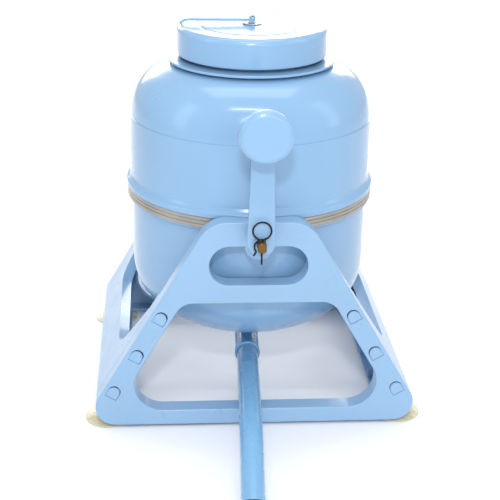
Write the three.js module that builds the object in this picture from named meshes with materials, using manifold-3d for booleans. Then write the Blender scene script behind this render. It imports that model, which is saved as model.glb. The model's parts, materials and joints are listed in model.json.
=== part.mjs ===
// Hand-cranked countertop tumbling washer: a plastic drum with a pressure lid, hung on two stub
// axles between two A-shaped frames, with a crank, a drain tube and four suction cups.
// Millimetres, +Z up. The crank is on the -Y side and the drum turns about an axle along Y.
// Everything is laid out around the drum's upright centre line, with the floor at z = 0, and the
// finished group is moved along Y so that its origin is the middle of its footprint.

import * as THREE from "three";
import { mergeVertices } from "three/addons/utils/BufferGeometryUtils.js";
import Module from "manifold-3d";

const wasm = await Module();
wasm.setup();

// ---------------------------------------------------------------- driving dimensions

const GAP = 0.3; // air between pieces that touch
const WALL = 3; // moulded wall

const AXLE_Z = 225;
const AXLE_R = 5.5;

const DRUM_R = 135; // outside of the upper shell's wall
const BOWL_R = 133.4; // outside of the lower shell's wall
const SEAM_Z = 233.9; // lower edge of the upper shell's skirt
const SKIRT_R = 139.9;
const SHOULDER_Z = 313.3;
const DOME_TOP = { r: 74.7, z: 372.6 };
const BOWL_KNUCKLE_Z = 144.6;
const BOWL_BOTTOM_Z = 66.2;
const DOME_POWER = { r: 2.09, z: 2.13 };
const BOWL_POWER = { r: 2.46, z: 2.07 };
const DRUM_SIDES = 40;

const BAND = { inner: 136.8, outer: 139.2, low: 221.7, high: 233.6 };
const PLATE = { half: 14, low: 216.8, high: 233.4, inner: 139.5, outer: 141 };
const RIVET = { x: 10, z: 228, shankR: 1.5, holeR: 1.8, headR: 2.6, head: 1.1 };
const NECK_FLANGE = { r: 93, low: 374, high: 376.8 };
const MOUTH = { inner: 67.4, outer: 70.6, top: 400 };
const DRAIN_HOLE_R = 11.5;

const FRAME_FACE_Y = 157.7; // outer face of each A-frame, from the drum's centre line
const FRAME_DEPTH = 20;
const FRAME_BOTTOM = 3;
const FRAME_TOP = 239;
const FRAME_TOP_HALF = 52.3; // half-width where the top line meets the leg's line
const LEG_LEAN = 0.588; // sideways run of a leg for each millimetre down
const LEG_WIDTH = 22;
const FRAME_TOP_R = 34.5;
const FRAME_FOOT_R = 22;
const WINDOW = { low: 20.8, high: 147.8, topR: 20, footR: 31 };
const HAND_HOLE = { half: 52, low: 168.6, high: 212.2, tabR: 15 };
const HUB_R = 13.5;
const SWEEP_R = 143.5; // ball that the drum's middle turns in, with running clearance
const BUSH = { bore: 5.7, outer: 9, flangeR: 12, flange: 1.5 };
const RIB_HALF = 1; // half the thickness of a stiffening rib

const TAB_HEIGHTS = [127.4, 83.4, 40.1];
const TAB = { inset: 11, halfWidth: 6.2, straight: 3, holeHalfWidth: 7, holeStraight: 5 };

const PANEL_DEPTH = 12.5;
const PANEL_TOP = 150;
const PANEL_INNER_X = 140;
const PANEL_WINDOW = { low: 72.6, half: 100, cornerR: 35, kneeHalf: 133.5, kneeZ: 134 };
const PANEL_WEB_DEPTH = 19;

const CUP = { x: 160.2, y: 129.7, r: 27.4, sides: 20 };

const CRANK_THROW = 122;
const ARM = { hubBack: 162.8, back: 173.4, front: 181.4, hubR: 14.5, tipR: 10.6 };
const SHAFT_END = 194.7;
const FLAT_HALF = 4.4; // half the distance across the axle's two flats
const CLIP_Y = 187.6;
const CLIP_WIRE_R = 1;
const KNOB = { r: 26.7, back: 204, face: 217.2 };
const KNOB_PIN_R = 3;
const KNOB_SNAP_R = 3.7; // split end of the pin that the knob snaps over

const LID = { r: 82.9, low: 380.8, top: 412.1, edgeR: 6.5, wall: 2.6 };
const LEVER_PIN_Z = 420;
const CLAMP_STROKE = 2.4;
const CAM_R = 2.9;
const LEVER = { halfWidth: 6.5, slotHalf: 2.9, crownR: 3.3, pinR: 1.5 };
const LID_RING = { inner: 59.5, outer: 63.5, low: 392 }; // presses on the gasket from above
const STUD = { r: 4, low: 370, flatHalf: 2.4, eyeR: 3.6 };
const STUD_HOLE_R = 4.3;
const CLAMP_DISC = { r: 62, low: 376.2, high: 383.7 };
const WASHER_TOP = 413.9;

const DRAIN_TURN = THREE.MathUtils.degToRad(-2.6); // the drain points a little to the left
const DRAIN_Z = 40;
const BARREL_R = 13.9;
const SOCKET_R = 12.4;
const TUBE = { outer: 12.1, inner: 10.3, start: 32, bendAt: 230, end: 325, drop: 26.5 };

const COLOURS = {
  shell: 0x9cc4ea,
  drain: 0x8fbde6,
  steel: 0xb9b2a6,
  brass: 0xa9742c,
  wire: 0x23242b,
  rubber: 0x2b2d33,
  cup: 0xe6dfb8,
  nylon: 0xf0f1ee,
};

// ---------------------------------------------------------------- solids and booleans

// One closed skin: shared vertices merged, empty triangles dropped, faces outward.
function closed(geometry) {
  const bare = geometry.index ? geometry.toNonIndexed() : geometry.clone();
  bare.deleteAttribute("normal");
  bare.deleteAttribute("uv");
  const merged = mergeVertices(bare, 1e-4);
  const old = merged.index.array;
  const kept = [];
  for (let i = 0; i < old.length; i += 3) {
    const [a, b, c] = [old[i], old[i + 1], old[i + 2]];
    if (a !== b && b !== c && c !== a) kept.push(a, b, c);
  }
  if (signedVolume(merged.attributes.position, kept) < 0) kept.reverse();
  merged.setIndex(kept);
  return merged;
}

function signedVolume(position, index) {
  const [a, b, c] = [new THREE.Vector3(), new THREE.Vector3(), new THREE.Vector3()];
  let sum = 0;
  for (let i = 0; i < index.length; i += 3) {
    a.fromBufferAttribute(position, index[i]);
    b.fromBufferAttribute(position, index[i + 1]);
    c.fromBufferAttribute(position, index[i + 2]);
    sum += a.dot(b.cross(c));
  }
  return sum / 6;
}

function solid(geometry) {
  const skin = closed(geometry);
  return new wasm.Manifold(new wasm.Mesh({
    numProp: 3,
    vertProperties: new Float32Array(skin.attributes.position.array),
    triVerts: new Uint32Array(skin.index.array),
  }));
}

function geometryOf(body) {
  const mesh = body.getMesh();
  const geometry = new THREE.BufferGeometry();
  geometry.setAttribute("position", new THREE.BufferAttribute(mesh.vertProperties, 3));
  geometry.setIndex(new THREE.BufferAttribute(mesh.triVerts, 1));
  return geometry;
}

const join = (first, ...rest) => rest.reduce((sum, next) => sum.add(next), first);
const cut = (first, ...rest) => rest.reduce((sum, next) => sum.subtract(next), first);

// ---------------------------------------------------------------- shapes

// A closed outline from its corners [x, y, radius], each corner rounded by an arc.
function roundedOutline(corners, arcSteps = 5) {
  const points = [];
  corners.forEach(([x, y, radius = 0], i) => {
    const here = new THREE.Vector2(x, y);
    const [px, py] = corners[(i + corners.length - 1) % corners.length];
    const [nx, ny] = corners[(i + 1) % corners.length];
    const back = new THREE.Vector2(px - x, py - y).normalize();
    const ahead = new THREE.Vector2(nx - x, ny - y).normalize();
    const half = Math.acos(THREE.MathUtils.clamp(back.dot(ahead), -1, 1)) / 2;
    if (radius <= 0 || half > Math.PI / 2 - 1e-3) {
      points.push(here);
      return;
    }
    const inward = back.clone().add(ahead).normalize();
    const centre = here.clone().addScaledVector(inward, radius / Math.sin(half));
    const from = here.clone().addScaledVector(back, radius / Math.tan(half)).sub(centre);
    const to = here.clone().addScaledVector(ahead, radius / Math.tan(half)).sub(centre);
    const turn = Math.atan2(from.cross(to), from.dot(to));
    for (let k = 0; k <= arcSteps; k += 1) {
      const spoke = from.clone().rotateAround(new THREE.Vector2(), (turn * k) / arcSteps);
      points.push(spoke.add(centre));
    }
  });
  return points;
}

// Mirrors corners given for x > 0, from top to bottom, into a whole outline.
function bothSides(corners) {
  return [...corners, ...corners.map(([x, y, r]) => [-x, y, r]).reverse()];
}

// The same outline running anticlockwise (1) or clockwise (-1).
function wound(outline, sense) {
  return THREE.ShapeUtils.area(outline) * sense > 0 ? outline : [...outline].reverse();
}

// An outline in the XZ plane made into a plate from y = yLow to y = yHigh.
function plate(outline, yLow, yHigh, holes = []) {
  const shape = new THREE.Shape(wound(outline, 1));
  holes.forEach((hole) => shape.holes.push(new THREE.Path(wound(hole, -1))));
  const depth = yHigh - yLow;
  const geometry = new THREE.ExtrudeGeometry(shape, { depth, bevelEnabled: false, steps: 1 });
  return geometry.rotateX(Math.PI / 2).translate(0, yHigh, 0);
}

function box(xs, ys, zs) {
  const size = [xs, ys, zs].map(([low, high]) => high - low);
  const middle = [xs, ys, zs].map(([low, high]) => (high + low) / 2);
  return new THREE.BoxGeometry(...size).translate(...middle);
}

// Turned about the Z axis from profile points [r, z].
function turned(profile, sides = DRUM_SIDES) {
  const points = profile.map(([r, z]) => new THREE.Vector2(r, z));
  return new THREE.LatheGeometry(points, sides).rotateX(Math.PI / 2);
}

// Turned about the Y axis from profile points [r, distance towards -Y].
function turnedAlongY(profile, sides = 32) {
  return turned(profile, sides).rotateX(Math.PI / 2);
}

// A disc or ring about Z, or about Y when it is made with ringAlongY.
const ringProfile = (inner, outer, low, high) => (inner > 0
  ? [[inner, low], [outer, low], [outer, high], [inner, high], [inner, low]]
  : [[0, low], [outer, low], [outer, high], [0, high]]);
const ring = (inner, outer, low, high, sides = 32) => turned(
  ringProfile(inner, outer, low, high), sides);
const ringAlongY = (inner, outer, near, far, sides = 32) => turnedAlongY(
  ringProfile(inner, outer, near, far), sides);

// Six flats outside and a round bore.
function hexNut(boreR, cornerR, low, high) {
  return cut(solid(ring(0, cornerR, low, high, 6)), solid(ring(0, boreR, low - 1, high + 1, 24)));
}

// A quarter of a rounded hull from [outer.r, outer.z] to [inner.r, inner.z].
function hullCurve(outer, inner, power, steps) {
  const points = [];
  for (let i = 0; i <= steps; i += 1) {
    const t = (i / steps) * (Math.PI / 2);
    const r = inner.r + (outer.r - inner.r) * Math.max(Math.cos(t), 0) ** (2 / power.r);
    const z = outer.z + (inner.z - outer.z) * Math.sin(t) ** (2 / power.z);
    points.push([r, z]);
  }
  return points;
}

// ---------------------------------------------------------------- the scene graph

const assembly = new THREE.Group();

function add(name, geometry, colour, parent = assembly, metal = 0, rough = 0.35) {
  const material = new THREE.MeshStandardMaterial({
    color: colour,
    roughness: rough,
    metalness: metal,
  });
  const mesh = new THREE.Mesh(closed(geometry), material);
  mesh.name = name;
  parent.add(mesh);
  return mesh;
}

const addSolid = (name, body, ...rest) => add(name, geometryOf(body), ...rest);

// ---------------------------------------------------------------- drum shells

function upperDrumShell() {
  const dome = hullCurve({ r: DRUM_R - 1.3, z: SHOULDER_Z }, DOME_TOP, DOME_POWER, 7);
  const inside = hullCurve(
    { r: DRUM_R - WALL - 1.3, z: SHOULDER_Z - 1 },
    { r: MOUTH.inner, z: DOME_TOP.z - WALL },
    DOME_POWER,
    4,
  );
  return turned([
    [SKIRT_R - 0.6, SEAM_Z],
    [SKIRT_R, SEAM_Z + 0.6],
    [SKIRT_R, SEAM_Z + 4],
    [SKIRT_R - 0.9, SEAM_Z + 6.2],
    [SKIRT_R - 3, SEAM_Z + 8],
    [DRUM_R, SEAM_Z + 11],
    [DRUM_R - 0.2, SHOULDER_Z - 1],
    ...dome,
    [DOME_TOP.r - 1.2, NECK_FLANGE.low],
    [NECK_FLANGE.r, NECK_FLANGE.low],
    [NECK_FLANGE.r, NECK_FLANGE.high],
    [MOUTH.outer, NECK_FLANGE.high],
    [MOUTH.outer, MOUTH.top - 0.8],
    [MOUTH.outer - 0.8, MOUTH.top],
    [MOUTH.inner, MOUTH.top],
    ...inside.reverse(),
    [DRUM_R - WALL, SEAM_Z + 4.3],
    [BAND.inner + 0.1, SEAM_Z + 4.3],
    [BAND.inner + 0.1, SEAM_Z],
    [SKIRT_R - 0.6, SEAM_Z],
  ]);
}

const RIM_TOP = SEAM_Z + 3.1;
const GROOVE = { inner: 132.5, outer: 134.9, floor: RIM_TOP - 2.2 };

function lowerDrumShell() {
  const bottom = { r: DRAIN_HOLE_R, z: BOWL_BOTTOM_Z };
  const bowl = hullCurve({ r: BOWL_R, z: BOWL_KNUCKLE_Z }, bottom, BOWL_POWER, 8);
  const inside = hullCurve(
    { r: BOWL_R - WALL, z: BOWL_KNUCKLE_Z },
    { r: DRAIN_HOLE_R, z: BOWL_BOTTOM_Z + WALL },
    BOWL_POWER,
    5,
  );
  const seat = BAND.inner - GAP;
  return turned([
    [seat, RIM_TOP],
    [seat, BAND.low - GAP],
    [BAND.outer - 1, BAND.low - GAP],
    [BAND.outer - 1, BAND.low - 1.7],
    [BOWL_R + 0.4, BAND.low - 3],
    ...bowl,
    ...inside.reverse(),
    [BOWL_R - WALL, RIM_TOP],
    [GROOVE.inner, RIM_TOP],
    [GROOVE.inner, GROOVE.floor],
    [GROOVE.outer, GROOVE.floor],
    [GROOVE.outer, RIM_TOP],
    [seat, RIM_TOP],
  ]);
}

function seamBand() {
  const hoop = turned([
    [BAND.inner, BAND.low],
    [BAND.outer, BAND.low],
    [BAND.outer, BAND.low + 3.6],
    [BAND.outer - 0.6, BAND.low + 4],
    [BAND.outer - 0.6, BAND.low + 4.6],
    [BAND.outer, BAND.low + 5],
    [BAND.outer, BAND.high],
    [BAND.inner, BAND.high],
    [BAND.inner, BAND.low],
  ]);
  return cut(solid(hoop), ...rivetPlaces().map((place) => rivetHole(place)));
}

add("upper_drum_shell", upperDrumShell(), COLOURS.shell);
add("lower_drum_shell", lowerDrumShell(), COLOURS.shell);
add(
  "seam_gasket",
  ring(GROOVE.inner + GAP, GROOVE.outer - GAP, GROOVE.floor + GAP, RIM_TOP + 0.9, DRUM_SIDES),
  COLOURS.rubber,
);
addSolid("seam_band", seamBand(), COLOURS.steel, assembly, 0.9, 0.35);

// ---------------------------------------------------------------- stub axles on the band

function rivetPlaces() {
  return [-1, 1].flatMap((end) => [-1, 1].map((side) => ({ end, side })));
}

// Along the band's radius at one rivet, with the middle of the band at the origin's height.
function alongRivet(geometry, { end, side }) {
  const angle = side * Math.asin(RIVET.x / BAND.outer);
  const turn = end < 0 ? angle : Math.PI - angle;
  return geometry.translate(0, 0, RIVET.z).rotateZ(turn);
}

function rivetHole(place) {
  const bore = ringAlongY(0, RIVET.holeR, BAND.inner - 1, PLATE.outer + 1, 8);
  return solid(alongRivet(bore, place));
}

function rivet(place) {
  const shape = turnedAlongY([
    [0, BAND.inner + 0.1],
    [RIVET.shankR, BAND.inner + 0.1],
    [RIVET.shankR, PLATE.outer + GAP],
    [RIVET.headR, PLATE.outer + GAP],
    [RIVET.headR * 0.75, PLATE.outer + GAP + RIVET.head * 0.7],
    [0, PLATE.outer + GAP + RIVET.head],
  ], 8);
  return alongRivet(shape, place);
}

// Both axles have the weld plate, a shoulder and the shaft; end is -1 at the front.
function stubAxle(end, length) {
  const plateRing = solid(ring(PLATE.inner, PLATE.outer, PLATE.low, PLATE.high, DRUM_SIDES));
  const keep = solid(box(
    [-PLATE.half, PLATE.half],
    end < 0 ? [-SKIRT_R - 5, 0] : [0, SKIRT_R + 5],
    [0, FRAME_TOP],
  ));
  const shaft = turnedAlongY([
    [0, PLATE.inner + 0.4],
    [7, PLATE.inner + 0.4],
    [7, SWEEP_R - 0.1],
    [AXLE_R, SWEEP_R - 0.1],
    [AXLE_R, length - 1],
    [AXLE_R - 1, length],
    [0, length],
  ], 20);
  shaft.rotateZ(end < 0 ? 0 : Math.PI).translate(0, 0, AXLE_Z);
  const holes = rivetPlaces().filter((place) => place.end === end).map(rivetHole);
  return cut(join(plateRing.intersect(keep), solid(shaft)), ...holes);
}

function frontAxle() {
  const flats = [-1, 1].map((side) => solid(box(
    side < 0 ? [-10, -FLAT_HALF] : [FLAT_HALF, 10],
    [-SHAFT_END - 1, -ARM.hubBack + 0.5],
    [AXLE_Z - 10, AXLE_Z + 10],
  )));
  const clipHole = ring(0, CLIP_WIRE_R + 0.4, AXLE_Z - 10, AXLE_Z + 10, 8);
  clipHole.translate(0, -CLIP_Y, 0);
  return cut(stubAxle(-1, SHAFT_END), ...flats, solid(clipHole));
}

const REAR_RING = { near: 161.9, far: 163.2, grooveR: 4.3 };

function rearAxle() {
  const groove = ringAlongY(
    REAR_RING.grooveR,
    AXLE_R + 2,
    REAR_RING.near - GAP,
    REAR_RING.far + GAP,
    24,
  ).rotateZ(Math.PI).translate(0, 0, AXLE_Z);
  return cut(stubAxle(1, 168), solid(groove));
}

addSolid("front_axle", frontAxle(), COLOURS.brass, assembly, 0.9, 0.4);
addSolid("rear_axle", rearAxle(), COLOURS.brass, assembly, 0.9, 0.4);
rivetPlaces().forEach((place) => {
  const name = `axle_rivet_${place.end < 0 ? "front" : "rear"}_${place.side < 0 ? "left" : "right"}`;
  add(name, rivet(place), COLOURS.steel, assembly, 0.9, 0.3);
});

const onAxle = (geometry, end = -1) => geometry
  .rotateZ(end < 0 ? 0 : Math.PI)
  .translate(0, 0, AXLE_Z);

add("front_washer", onAxle(ringAlongY(AXLE_R + GAP, 10.5, 159.9, 162.4, 20)), COLOURS.steel);
add("rear_washer", onAxle(ringAlongY(AXLE_R + GAP, 10.5, 159.9, 161.4, 20), 1), COLOURS.steel);

// An open retaining ring that springs into the rear axle's groove.
function retainingRing() {
  const whole = solid(ringAlongY(REAR_RING.grooveR + GAP, 8.6, REAR_RING.near, REAR_RING.far, 24));
  const mouth = solid(box([-2.6, 2.6], [-170, -150], [0, 12]));
  return onAxle(geometryOf(whole.subtract(mouth)), 1);
}

add("rear_retaining_ring", retainingRing(), COLOURS.steel, assembly, 0.9, 0.3);

// ---------------------------------------------------------------- A-frames

const LEG_COS = 1 / Math.hypot(1, LEG_LEAN);

// Sideways position of the leg's outer line at a height, moved inwards by an amount.
const legX = (z, inset = 0) => FRAME_TOP_HALF + (FRAME_TOP - z) * LEG_LEAN - inset / LEG_COS;

function frameOutline(inset) {
  const top = FRAME_TOP - inset;
  const foot = FRAME_BOTTOM + inset;
  return roundedOutline(bothSides([
    [legX(top, inset), top, FRAME_TOP_R - inset],
    [legX(foot, inset), foot, FRAME_FOOT_R - inset],
  ]));
}

function windowOutline(outset) {
  const top = WINDOW.high + outset;
  const foot = WINDOW.low - outset;
  return roundedOutline(bothSides([
    [legX(top, LEG_WIDTH - outset), top, WINDOW.topR + outset],
    [legX(foot, LEG_WIDTH - outset), foot, WINDOW.footR + outset],
  ]));
}

// A long round-ended hole with a half-round tab hanging into it under the axle.
function handHoleOutline(outset) {
  const low = HAND_HOLE.low - outset;
  const high = HAND_HOLE.high + outset;
  const endR = (high - low) / 2;
  const endX = HAND_HOLE.half + outset - endR;
  const middle = (high + low) / 2;
  const tabR = HAND_HOLE.tabR - outset;
  const points = [];
  const arc = (x, z, r, from, to, steps) => {
    for (let i = 0; i <= steps; i += 1) {
      const angle = THREE.MathUtils.degToRad(from + ((to - from) * i) / steps);
      points.push(new THREE.Vector2(x + r * Math.cos(angle), z + r * Math.sin(angle)));
    }
  };
  arc(endX, middle, endR, -90, 90, 7);
  arc(0, high, tabR, 0, -180, 7);
  arc(-endX, middle, endR, 90, 270, 7);
  return points;
}

// Half-moon outline of a snap tab, or of its hole, on a leg at height z.
function tabOutline(z, halfWidth, straight, drop) {
  const lean = Math.atan(LEG_LEAN);
  const centre = new THREE.Vector2(legX(z, TAB.inset), z);
  const points = [[-halfWidth, -drop], [halfWidth, -drop], [halfWidth, straight]]
    .map(([x, y]) => new THREE.Vector2(x, y));
  const steps = 6;
  for (let i = 1; i <= steps; i += 1) {
    const angle = (Math.PI * i) / steps;
    points.push(new THREE.Vector2(
      halfWidth * Math.cos(angle),
      straight + halfWidth * Math.sin(angle),
    ));
  }
  return points.map((point) => point.rotateAround(new THREE.Vector2(), lean).add(centre));
}

const mirroredX = (points) => points.map(({ x, y }) => new THREE.Vector2(-x, y)).reverse();

// Thin walls across the hollow back of a frame.
function frameRibs(backY, faceY) {
  const across = [];
  [105, 62].forEach((z) => across.push([legX(z, LEG_WIDTH), legX(z, 0), z]));
  const legRibs = across.flatMap(([near, far, z]) => [-1, 1].map((side) => box(
    side < 0 ? [-far, -near] : [near, far],
    [faceY, backY],
    [z - RIB_HALF, z + RIB_HALF],
  )));
  const barRibs = [-96, -32, 32, 96].map((x) => box(
    [x - RIB_HALF, x + RIB_HALF],
    [faceY, backY],
    [FRAME_BOTTOM, WINDOW.low],
  ));
  const bridgeRibs = [-40, 0, 40].map((x) => box(
    [x - RIB_HALF, x + RIB_HALF],
    [faceY, backY],
    [WINDOW.high, HAND_HOLE.low],
  ));
  return [...legRibs, ...barRibs, ...bridgeRibs];
}

// The front frame; the rear one is the same piece turned round.
function aFrame() {
  const faceY = -FRAME_FACE_Y;
  const backY = faceY + FRAME_DEPTH;
  const holes = [windowOutline(0), handHoleOutline(0)];
  const full = solid(plate(frameOutline(0), faceY, backY, holes));
  const hollow = solid(plate(
    frameOutline(WALL),
    faceY + WALL,
    backY + 1,
    [windowOutline(WALL), handHoleOutline(WALL)],
  ));
  const hub = solid(ringAlongY(0, HUB_R, -backY, FRAME_FACE_Y - 1, 24).translate(0, 0, AXLE_Z));
  const ribs = frameRibs(backY, faceY + 1).map((rib) => solid(rib).intersect(full));
  const bearingHole = ringAlongY(0, BUSH.outer + GAP, -backY - 5, FRAME_FACE_Y + 5, 24)
    .translate(0, 0, AXLE_Z);
  const sweep = new THREE.SphereGeometry(SWEEP_R, 32, 20).translate(0, 0, AXLE_Z);
  const tabHoles = TAB_HEIGHTS.flatMap((z) => {
    const hole = tabOutline(z, TAB.holeHalfWidth, TAB.holeStraight, TAB.straight + 0.4);
    return [hole, mirroredX(hole)].map((outline) => solid(plate(outline, faceY - 1, faceY + 5)));
  });
  return cut(
    join(full.subtract(hollow), hub, ...ribs),
    solid(bearingHole),
    solid(sweep),
    ...tabHoles,
    ...cupReliefs(),
  );
}

function flangedBush() {
  return turnedAlongY([
    [BUSH.bore, SWEEP_R + 0.5],
    [BUSH.outer, SWEEP_R + 0.5],
    [BUSH.outer, FRAME_FACE_Y + GAP],
    [BUSH.flangeR, FRAME_FACE_Y + GAP],
    [BUSH.flangeR, FRAME_FACE_Y + GAP + BUSH.flange],
    [BUSH.bore, FRAME_FACE_Y + GAP + BUSH.flange],
    [BUSH.bore, SWEEP_R + 0.5],
  ], 20);
}

// ---------------------------------------------------------------- suction cups

const cupPlaces = [
  { name: "front_left", x: -CUP.x, y: -CUP.y },
  { name: "front_right", x: CUP.x, y: -CUP.y },
  { name: "rear_left", x: -CUP.x, y: CUP.y },
  { name: "rear_right", x: CUP.x, y: CUP.y },
];

// Room in the frames and panels for the raised middle of each cup and its shoulder.
function cupReliefs() {
  const relief = join(solid(ring(0, 19, -1, 5.2, 24)), solid(ring(0, 5.6, -1, 7.3, 16)));
  return cupPlaces.map(({ x, y }) => relief.translate([x, y, 0]));
}

function suctionCup() {
  return turned([
    [0, 2.2],
    [12, 1.7],
    [24, 0],
    [CUP.r, 0],
    [CUP.r, 1],
    [13, 3.4],
    [5.2, 5],
    [5.2, 7],
    [3.1, 7],
    [3.1, 13.5],
    [4.3, 14.4],
    [3.4, 17],
    [0, 17.6],
  ], CUP.sides);
}

const frame = aFrame();
const frameGeometry = geometryOf(frame);
add("front_frame", frameGeometry, COLOURS.shell);
add("rear_frame", frameGeometry, COLOURS.shell).rotation.z = Math.PI;
add("front_bearing", onAxle(flangedBush()), COLOURS.nylon);
add("rear_bearing", onAxle(flangedBush(), 1), COLOURS.nylon);
cupPlaces.forEach(({ name, x, y }) => {
  add(`suction_cup_${name}`, suctionCup(), COLOURS.cup).position.set(x, y, 0);
});

// ---------------------------------------------------------------- side panels

const PANEL_HALF = FRAME_FACE_Y - FRAME_DEPTH - GAP;

// Cross-section of the right panel between two depths under its outer surface.
function panelSection(near, far, top, innerX) {
  const footR = (depth) => Math.max(FRAME_FOOT_R - depth, 3);
  return roundedOutline([
    [legX(top, near), top, 0],
    [legX(FRAME_BOTTOM + near, near), FRAME_BOTTOM + near, footR(near)],
    [innerX, FRAME_BOTTOM + near, 0],
    [innerX, FRAME_BOTTOM + far, 0],
    [legX(FRAME_BOTTOM + far, far), FRAME_BOTTOM + far, footR(far)],
    [legX(top, far), top, 0],
  ]);
}

// The U-shaped opening, cut square to the leaning panel.
function panelWindow(outset) {
  const slope = (z) => (z - PANEL_WINDOW.low) / LEG_COS;
  const knee = PANEL_WINDOW.kneeHalf + outset;
  const outline = roundedOutline(bothSides([
    [knee, slope(PANEL_TOP + 20), 0],
    [knee, slope(PANEL_WINDOW.kneeZ), 0],
    [PANEL_WINDOW.half + outset, -outset, PANEL_WINDOW.cornerR],
  ]));
  const depth = 80;
  const prism = new THREE.ExtrudeGeometry(new THREE.Shape(outline), {
    depth,
    bevelEnabled: false,
    steps: 1,
  });
  const lean = Math.atan(LEG_LEAN);
  const along = new THREE.Vector3(0, 1, 0);
  const up = new THREE.Vector3(-Math.sin(lean), 0, Math.cos(lean));
  const outward = new THREE.Vector3(Math.cos(lean), 0, Math.sin(lean));
  const placed = new THREE.Matrix4().makeBasis(along, up, outward);
  placed.setPosition(legX(PANEL_WINDOW.low), 0, PANEL_WINDOW.low);
  return solid(prism.translate(0, 0, -depth / 2).applyMatrix4(placed));
}

// The right panel; the left one is the same piece turned round.
function sidePanel() {
  const slab = (near, far, yLow, yHigh) => solid(plate(
    panelSection(near, far, PANEL_TOP, PANEL_INNER_X),
    yLow,
    yHigh,
  ));
  const opening = panelWindow(0);
  const body = slab(0, PANEL_DEPTH, -PANEL_HALF, PANEL_HALF).subtract(opening);
  const hollow = solid(plate(
    panelSection(WALL, PANEL_DEPTH + 1, PANEL_TOP + 5, PANEL_INNER_X - 5),
    -PANEL_HALF + WALL,
    PANEL_HALF - WALL,
  )).subtract(panelWindow(WALL));
  const ribs = [-60, 0, 60].map((y) => (
    slab(1, PANEL_DEPTH, y - RIB_HALF, y + RIB_HALF).subtract(opening)
  ));
  const webs = [-1, 1].map((end) => slab(
    0,
    PANEL_WEB_DEPTH,
    end < 0 ? -PANEL_HALF : PANEL_HALF - WALL,
    end < 0 ? -PANEL_HALF + WALL : PANEL_HALF,
  ));
  const tabs = TAB_HEIGHTS.flatMap((z) => [-1, 1].map((end) => {
    const near = PANEL_HALF - 1;
    const far = FRAME_FACE_Y - 0.5;
    const outline = tabOutline(z, TAB.halfWidth, TAB.straight, TAB.straight);
    return solid(plate(outline, end < 0 ? -far : near, end < 0 ? -near : far));
  }));
  const bosses = [-1, 1].map((end) => solid(box(
    [CUP.x - 9, CUP.x + 4],
    end < 0 ? [-PANEL_HALF, -CUP.y + 8] : [CUP.y - 8, PANEL_HALF],
    [7.3, 13.2],
  )));
  const stemHoles = [-1, 1].map((end) => solid(
    ring(0, 3.5, 0, 13.5, 16).translate(CUP.x, end * CUP.y, 0),
  ));
  return cut(
    join(body.subtract(hollow), ...ribs, ...webs, ...tabs, ...bosses),
    ...stemHoles,
    ...cupReliefs(),
  );
}

const panelGeometry = geometryOf(sidePanel());
add("right_side_panel", panelGeometry, COLOURS.shell);
add("left_side_panel", panelGeometry, COLOURS.shell).rotation.z = Math.PI;

// ---------------------------------------------------------------- crank

const knobAxis = AXLE_Z + CRANK_THROW;

// Two circles, one at each end of the arm, and their outer tangents.
function armOutline(inset) {
  const low = ARM.hubR - inset;
  const high = ARM.tipR - inset;
  const tilt = Math.asin((low - high) / CRANK_THROW);
  const points = [];
  const steps = 12;
  for (let i = 0; i <= steps; i += 1) {
    const angle = tilt + ((Math.PI - 2 * tilt) * i) / steps;
    points.push([high * Math.cos(angle), knobAxis + high * Math.sin(angle)]);
  }
  for (let i = 0; i <= steps; i += 1) {
    const angle = Math.PI - tilt + ((Math.PI + 2 * tilt) * i) / steps;
    points.push([low * Math.cos(angle), AXLE_Z + low * Math.sin(angle)]);
  }
  return points.map(([x, z]) => new THREE.Vector2(x, z));
}

function crankArm() {
  const bevel = 1;
  const shape = new THREE.Shape(armOutline(bevel));
  const bar = new THREE.ExtrudeGeometry(shape, {
    depth: ARM.front - ARM.back - bevel,
    bevelEnabled: true,
    bevelThickness: bevel,
    bevelSize: bevel,
    bevelSegments: 2,
    steps: 1,
  }).rotateX(Math.PI / 2).translate(0, -ARM.back, 0);
  const backTrim = solid(box([-30, 30], [-ARM.back, -ARM.back + 5], [150, 400]));
  const pocket = solid(plate(armOutline(WALL), -ARM.front + WALL, -ARM.back + 1));
  const hub = solid(onAxle(ringAlongY(0, 12.5, ARM.hubBack, ARM.front - 1, 24)));
  const tip = solid(ringAlongY(0, 7.5, ARM.back, ARM.front - 1, 20).translate(0, 0, knobAxis));
  const rib = solid(box([-1.2, 1.2], [-ARM.front + 1, -ARM.back], [AXLE_Z, knobAxis]));
  const keyedBore = solid(onAxle(ringAlongY(0, AXLE_R + GAP, 150, 200, 24))).intersect(solid(box(
    [-FLAT_HALF - GAP, FLAT_HALF + GAP],
    [-200, -150],
    [AXLE_Z - 10, AXLE_Z + 10],
  )));
  const pinBore = ringAlongY(0, KNOB_PIN_R + GAP, 150, 200, 16).translate(0, 0, knobAxis);
  return cut(
    join(cut(solid(bar), backTrim, pocket), hub, tip, rib),
    keyedBore,
    solid(pinBore),
  );
}

function crankKnob() {
  return turnedAlongY([
    [KNOB_PIN_R + GAP, ARM.front + 0.5],
    [10.4, ARM.front + 0.5],
    [9, ARM.front + 4],
    [9, KNOB.back - 6],
    [14, KNOB.back - 1.4],
    [21, KNOB.back],
    [KNOB.r, KNOB.back + 1.5],
    [KNOB.r, KNOB.back + 6],
    [KNOB.r - 1.4, KNOB.back + 9.4],
    [KNOB.r - 5.4, KNOB.back + 12],
    [0, KNOB.face],
    [0, KNOB.face - 9],
    [KNOB_SNAP_R + GAP, KNOB.face - 9],
    [KNOB_SNAP_R + GAP, KNOB.face - 13],
    [KNOB_PIN_R + GAP, KNOB.face - 13],
    [KNOB_PIN_R + GAP, ARM.front + 0.5],
  ], 30);
}

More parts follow.
